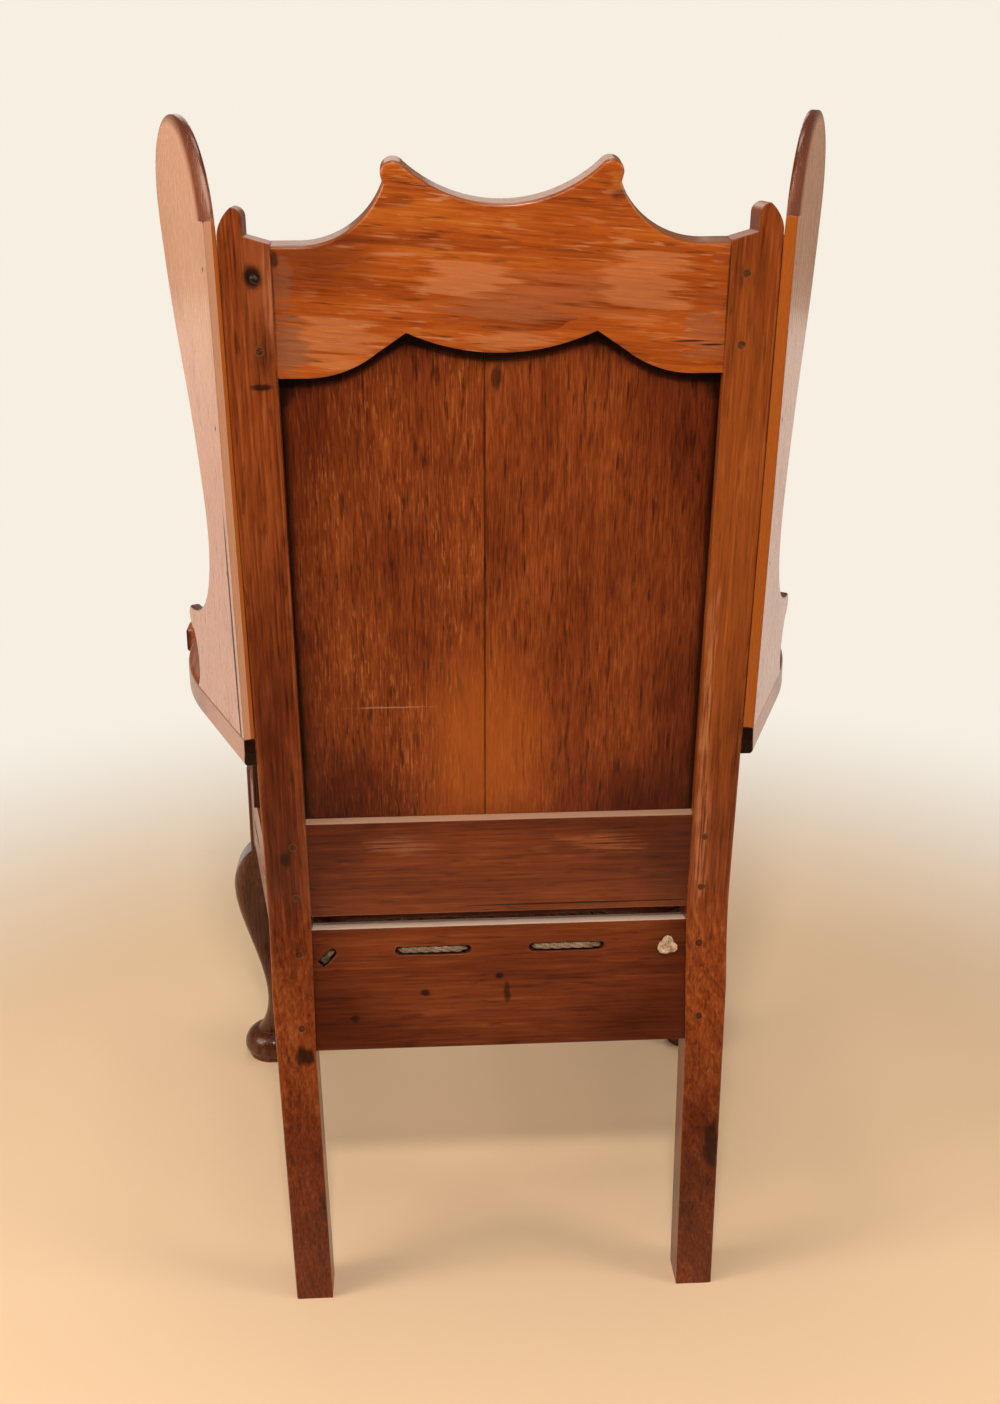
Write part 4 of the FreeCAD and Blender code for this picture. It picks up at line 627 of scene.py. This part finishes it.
# a paler copy of the rope's hemp, painted lighter as light on the knots
litKnotRope = hempRope("litHempKnot", ((0.25, "#8a7058"), (0.5, "#c4a98c"), (0.75, "#e4d0b6")))
squabWool = wovenWool("madderWool", "#4a1d18", "#7d3b30")
pipingWool = wovenWool("madderPiping", "#3c1612", "#653026")

finishes = {
    "crest_rail": crestWood, "lower_back_rail": lowRailWood, "rear_seat_rail": rearRailWood,
    "front_seat_rail": frontRailWood, "left_back_plank": leftOak, "right_back_plank": rightOak,
    "crest_pegs": pegWood, "lower_back_rail_pegs": pegWood, "rear_seat_rail_pegs": pegWood,
    "crest_iron_pin": iron, "wing_nails": iron, "back_post": postWood, "wing": reflectingWingWood, "wing_wedge": wedgeWood,
    "arm": armWood, "arm_support": shadedLegWood, "front_leg": shadedLegWood, "side_knee_bracket": shadedLegWood,
    "front_knee_bracket": shadedLegWood, "side_seat_rail": sideRailWood,
}
for name, piece in nodes.items():
    finish = finishes.get(name) or finishes.get(name.split("_", 1)[1])
    if finish:
        piece.data.materials.clear()
        piece.data.materials.append(finish)
print("wood finished")


# seat cord: three twisted strands along one smooth line through the bored rails

seatCord = {
    "rows": (-0.1775, -0.1065, -0.0355, 0.0355, 0.1065, 0.1775),  # X of the lengthwise runs
    "lift": 0.389, "rear": 0.1882, "front": -0.2995,  # where they turn along the rails
    "rearMouth": 0.166, "frontMouth": -0.2775,  # inner mouths of the bores
    "crossRows": (0.094, 0.022, -0.050, -0.122, -0.194),  # Y of the crosswise runs
    "crossLift": 0.381, "reach": (0.2436, 0.2546, 0.2655, 0.2765, 0.2875),  # half widths where they turn
    "mouth": 0.0215,  # from the turn back to the bore's inner mouth
    "slot": 0.018,  # from the turn into the slot
    "start": 0.003, "crossStart": 0.001, "crossEnd": 0.003,  # how far the ends pass their turns
    "tail": (0.1878, 0.1897, 0.3788),  # tucked into its slanted slot
    "strands": 3, "strand": 0.0018, "bite": 1.07,  # strands just bite into each other
    "lay": 0.034, "step": 0.0022, "width": 0.007, "pathStep": 0.004,
}
knot = {
    "width": 0.0165, "points": 18, "flat": 1.1, "lift": 0.42,  # rise of its loops, and how far it stands off the rail
    "strand": 0.0016, "lay": 0.018, "rope": 0.0019,
}


def splineLine(name, points, closed=False):
    curve = bpy.data.curves.new(name, "CURVE")
    curve.dimensions = "3D"
    curve.resolution_u = 16
    spline = curve.splines.new("NURBS")
    spline.points.add(len(points) - 1)
    for target, point in zip(spline.points, points):
        target.co = (*point, 1)
    spline.order_u = 3
    spline.use_cyclic_u = closed
    spline.use_endpoint_u = not closed
    holder = bpy.data.objects.new(name, curve)
    mesh = bpy.data.meshes.new_from_object(holder)
    line = np.array([v.co for v in mesh.vertices], float)
    bpy.data.meshes.remove(mesh)
    bpy.data.objects.remove(holder)
    return line


def evenly(line, step):
    along = np.concatenate([[0], np.cumsum(np.linalg.norm(np.diff(line, axis=0), axis=1))])
    at = np.linspace(0, along[-1], max(2, int(along[-1] / step) + 1))
    return [Vector(p) for p in np.stack([np.interp(at, along, line[:, k]) for k in range(3)], axis=1)]


def tubeMesh(lines, radius, sides, closed=False):
    bm = bmesh.new()
    for line in lines:
        curve = bpy.data.curves.new("strand", "CURVE")
        curve.dimensions = "3D"
        curve.bevel_depth = radius
        curve.bevel_resolution = sides
        curve.use_fill_caps = not closed
        spline = curve.splines.new("POLY")
        spline.points.add(len(line) - 1)
        spline.use_cyclic_u = closed
        for target, point in zip(spline.points, line):
            target.co = (*point, 1)
        holder = bpy.data.objects.new("strand", curve)
        mesh = bpy.data.meshes.new_from_object(holder)
        bm.from_mesh(mesh)
        bpy.data.meshes.remove(mesh)
        bpy.data.objects.remove(holder)
    return bm


def twisted(line, strand, lay):
    points = evenly(line, seatCord["step"])
    side = (points[1] - points[0]).orthogonal().normalized()
    before = (points[1] - points[0]).normalized()
    count = seatCord["strands"]
    strands = [[] for _ in range(count)]
    radius = strand * seatCord["bite"]
    for index, point in enumerate(points):
        ahead = (points[min(index + 1, len(points) - 1)] - points[max(index - 1, 0)]).normalized()
        side = before.rotation_difference(ahead) @ side
        before = ahead
        turn = 2 * math.pi * index * seatCord["step"] / lay
        for number in range(count):
            spin = Matrix.Rotation(turn + 2 * math.pi * number / count, 3, ahead)
            strands[number].append(point + spin @ side * radius)
    return strands


def lengthwiseRoute():
    c = seatCord
    route = [(c["rows"][0], c["rear"] + c["start"], c["lift"])]
    for row, x in enumerate(c["rows"]):
        forward = row % 2 == 0
        start, end = (c["rear"], c["front"]) if forward else (c["front"], c["rear"])
        mouths = (c["rearMouth"], c["frontMouth"]) if forward else (c["frontMouth"], c["rearMouth"])
        if row > 0:
            route += [(x - c["slot"], start, c["lift"]), (x, start, c["lift"])]
        route += [(x, mouths[0], c["lift"]), (x, mouths[1], c["lift"]), (x, end, c["lift"])]
        if row < len(c["rows"]) - 1:
            route.append((x + c["slot"], end, c["lift"]))
    return route + [c["tail"]]


def crosswiseRoute():
    c = seatCord
    route = [(c["reach"][0] + c["crossStart"], c["crossRows"][0], c["crossLift"])]
    slope = (c["reach"][1] - c["reach"][0]) / (c["crossRows"][0] - c["crossRows"][1])  # of the side rails
    for row, (y, far) in enumerate(zip(c["crossRows"], c["reach"])):
        way = 1 if row % 2 == 0 else -1
        if row > 0:
            route.append((way * (far - slope * c["slot"]), y + c["slot"], c["crossLift"]))
            route.append((way * far, y, c["crossLift"]))
        route += [(way * (far - c["mouth"]), y, c["crossLift"]), (-way * (far - c["mouth"]), y, c["crossLift"])]
        route.append((-way * far, y, c["crossLift"]))
        if row < len(c["reach"]) - 1:
            route.append((-way * (far + slope * c["slot"]), y - c["slot"], c["crossLift"]))
    route[-1] = (route[-1][0] - c["crossEnd"], *route[-1][1:])
    return route


def trefoil(at, outward):  # the line of a hard pulled knot, flat against the rail
    turn = Vector((0, 0, 1)).rotation_difference(Vector(outward)).to_matrix()
    points = []
    for index in range(knot["points"]):
        t = 2 * math.pi * index / knot["points"]
        loop = Vector((math.sin(t) + 2 * math.sin(2 * t), math.cos(t) - 2 * math.cos(2 * t),
                       -knot["flat"] * math.sin(3 * t)))  # six across before it is sized
        points.append(Vector(at) + turn @ (loop * knot["width"] / 6 + Vector((0, 0, knot["width"] * knot["lift"]))))
    return splineLine("knot", points, closed=True)


def makeKnot(name, at, outward):
    line = trefoil(at, outward)
    closed = np.vstack([line, line[:1]])
    bm = tubeMesh(twisted(closed, knot["strand"], knot["lay"]), knot["rope"], 1)
    tied = newPiece(name, finishMesh(bm, name), "frame", litKnotRope)
    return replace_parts(tied, "cord_knots")


def makeCord(name, route, node):
    line = splineLine(name, route)
    bm = tubeMesh(twisted(line, seatCord["strand"], seatCord["lay"]), seatCord["strand"], 1)
    cord = newPiece(name, finishMesh(bm, name), "frame", rope)
    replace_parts(cord, node)


sideOut = (0.98854, 0.15097, 0)  # outward from the left side rail
rearKnot = makeKnot("rearKnot", (-0.1775, 0.1912, 0.389), (0, 0.99, 0.141))
rightKnot = makeKnot("rightKnot", (-0.2905, -0.194, 0.381), (-sideOut[0], sideOut[1], 0))
lengthwise, crosswise = lengthwiseRoute(), crosswiseRoute()  # their lengths are those of the CAD cords
makeCord("lengthwiseCord", lengthwise, "lengthwise_seat_cord")
makeCord("crosswiseCord", crosswise, "crosswise_seat_cord")
print("cord laced")


# wax and dust packed into the joint of the planks, so that no light shows through

jointWax = {"at": (0.015, 0.2739, 0.9638), "width": 0.0006, "depth": 0.004,
            "low": -0.42, "high": 0.092}  # ends, along the back


def makeJointWax():
    length = jointWax["high"] - jointWax["low"]
    bm = bmesh.new()
    bmesh.ops.create_cube(bm, size=1)
    bmesh.ops.scale(bm, vec=(jointWax["width"], jointWax["depth"], length), verts=bm.verts[:])
    bmesh.ops.translate(bm, vec=(0, 0, jointWax["low"] + length / 2), verts=bm.verts[:])
    turn = Matrix.Translation(jointWax["at"]) @ Matrix.Rotation(-rake, 4, "X")
    bmesh.ops.transform(bm, matrix=turn, verts=bm.verts[:])
    newPiece("plankJointWax", finishMesh(bm, "plankJointWax"), "frame", leftOak, smooth=False)


makeJointWax()


# forged nail head over the sunk pin

nailHead = {"at": (0.213, 0.3174, 1.0938), "width": 0.011, "height": 0.005, "top": 0.004, "arris": 0.0005,
            "sides": 7, "twist": 0.4}


def makeNailHead():
    bm = bmesh.new()
    bmesh.ops.create_cone(bm, cap_ends=True, segments=nailHead["sides"], radius1=nailHead["width"] / 2,
                          radius2=nailHead["top"] / 2, depth=nailHead["height"])
    bmesh.ops.bevel(bm, geom=bm.edges[:], offset=nailHead["arris"], segments=2, profile=0.5, affect="EDGES",
                    material=-1)
    turn = Matrix.Rotation(rake - math.pi / 2, 4, "X") @ Matrix.Rotation(nailHead["twist"], 4, "Z")
    bmesh.ops.transform(bm, matrix=Matrix.Translation(nailHead["at"]) @ turn, verts=bm.verts[:])
    newPiece("ironNailHead", finishMesh(bm, "ironNailHead"), "frame", iron, smooth=False)


makeNailHead()
print("joint and nail head made")


# loose squab, stuffed wool with piped edges

squab = {
    "backHalf": 0.205, "frontHalf": 0.2505, "back": 0.1395, "front": -0.2705,
    "foot": 0.3965, "height": 0.052, "corner": 0.016,
    "voxel": 0.006, "quality": 6, "pressure": 4, "frames": 20, "cap": 0.017,
    "roomBack": 0.2085, "roomFront": 0.2535,  # half widths of the space between the rails
    "clear": 0.002, "skin": 0.0006,  # kept from the sides of that space, and from its top and foot
    "piping": 0.0026, "sunk": 0.0004, "lowSeam": 0.006, "highSeam": 0.004,  # seams' distance from foot and top
    "stitch": 0.012, "pipingStep": 0.006, "middle": -0.065, "outreach": 0.03,  # how the seam is found
}


def squabBlank():
    bm = bmesh.new()
    plan = ((squab["frontHalf"], squab["front"]), (squab["backHalf"], squab["back"]),
            (-squab["backHalf"], squab["back"]), (-squab["frontHalf"], squab["front"]))
    corners = [bm.verts.new((x, y, squab["foot"])) for x, y in plan]
    bm.faces.new(corners)
    bmesh.ops.bevel(bm, geom=corners, offset=squab["corner"], segments=6, profile=0.5, affect="VERTICES", material=-1)
    raised = bmesh.ops.extrude_face_region(bm, geom=bm.faces[:])
    lifted = [v for v in raised["geom"] if isinstance(v, bmesh.types.BMVert)]
    bmesh.ops.translate(bm, vec=(0, 0, squab["height"]), verts=lifted)
    bmesh.ops.recalc_face_normals(bm, faces=bm.faces[:])
    return finishMesh(bm, "squabBlank")


def applied(holder):
    graph = bpy.context.evaluated_depsgraph_get()
    mesh = bpy.data.meshes.new_from_object(holder.evaluated_get(graph))
    bpy.data.objects.remove(holder)
    return mesh


def swollen(mesh):
    holder = bpy.data.objects.new("squabCloth", mesh)
    scene.collection.objects.link(holder)
    start = np.array([v.co for v in mesh.vertices], float)
    cloth = holder.modifiers.new("cloth", "CLOTH")
    cloth.settings.quality = squab["quality"]
    cloth.settings.use_pressure = True
    cloth.settings.uniform_pressure_force = squab["pressure"]
    cloth.settings.effector_weights.gravity = 0
    cloth.point_cache.frame_end = squab["frames"]
    for number in range(1, squab["frames"] + 1):
        scene.frame_set(number)
    mesh = applied(holder)
    scene.frame_set(1)
    moved = np.array([v.co for v in mesh.vertices], float) - start
    far = np.linalg.norm(moved, axis=1, keepdims=True)
    moved *= np.minimum(1, squab["cap"] / np.maximum(far, 1e-9))
    end = start + moved
    for axis in (0, 1):  # swelling draws the sides in, so let them out to the seat again
        low, high = end[:, axis].min(), end[:, axis].max()
        end[:, axis] = np.interp(end[:, axis], (low, high), (start[:, axis].min(), start[:, axis].max()))
    mesh.vertices.foreach_set("co", end.ravel())
    return mesh


def keptInside(mesh):  # flat where it rests on the cords, and clear of the rails
    low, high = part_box("seat_squab")
    co = np.array([v.co for v in mesh.vertices], float)
    co[:, 2] = np.clip(co[:, 2], low.z + squab["skin"], high.z - squab["skin"])
    co[:, 1] = np.clip(co[:, 1], low.y + squab["clear"], high.y - squab["clear"])
    forward = (high.y - co[:, 1]) / (high.y - low.y)
    half = squab["roomBack"] + (squab["roomFront"] - squab["roomBack"]) * forward - squab["clear"]
    co[:, 0] = np.clip(co[:, 0], -half, half)
    mesh.vertices.foreach_set("co", co.ravel())
    mesh.update()


def makeSquab():
    holder = bpy.data.objects.new("squabBlank", squabBlank())
    scene.collection.objects.link(holder)
    remesh = holder.modifiers.new("remesh", "REMESH")
    remesh.mode = "VOXEL"
    remesh.voxel_size = squab["voxel"]
    mesh = applied(holder)
    mesh = swollen(mesh)
    keptInside(mesh)
    bm = bmesh.new()
    bm.from_mesh(mesh)
    bmesh.ops.smooth_vert(bm, verts=bm.verts[:], factor=0.5, use_axis_x=True, use_axis_y=True, use_axis_z=True)
    tree = BVHTree.FromBMesh(bm)
    bm.to_mesh(mesh)
    bm.free()
    cushion = newPiece("seatSquab", mesh, "squab", squabWool)
    smooth = cushion.modifiers.new("smooth", "SUBSURF")
    smooth.levels = smooth.render_levels = 1
    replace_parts(cushion, "seat_squab")
    makePiping(tree)


def makePiping(tree):
    blank = squabBlank()
    bm = bmesh.new()
    bm.from_mesh(blank)
    bpy.data.meshes.remove(blank)
    lines = []
    for rise in (0, squab["height"]):
        face = [f for f in bm.faces if all(abs(v.co.z - squab["foot"] - rise) < 1e-5 for v in f.verts)][0]
        ring = [v.co.copy() for v in face.verts]
        points = evenly(np.array(ring + ring[:1]), squab["stitch"])[:-1]
        level = squab["foot"] + (squab["lowSeam"] if rise == 0 else rise - squab["highSeam"])
        line = []
        for point in points:
            away = Vector((point.x, point.y - squab["middle"], 0)).normalized() * squab["outreach"]
            place, normal, _, _ = tree.find_nearest(Vector((point.x, point.y, level)) + away)
            line.append(place - normal * squab["sunk"])
        lines.append(evenly(splineLine("piping", line, closed=True), squab["pipingStep"]))
    bm.free()
    mesh = finishMesh(tubeMesh(lines, squab["piping"], 2, closed=True), "squabPiping")
    newPiece("squabPiping", mesh, "squab", pipingWool)


makeSquab()
print("squab stuffed")
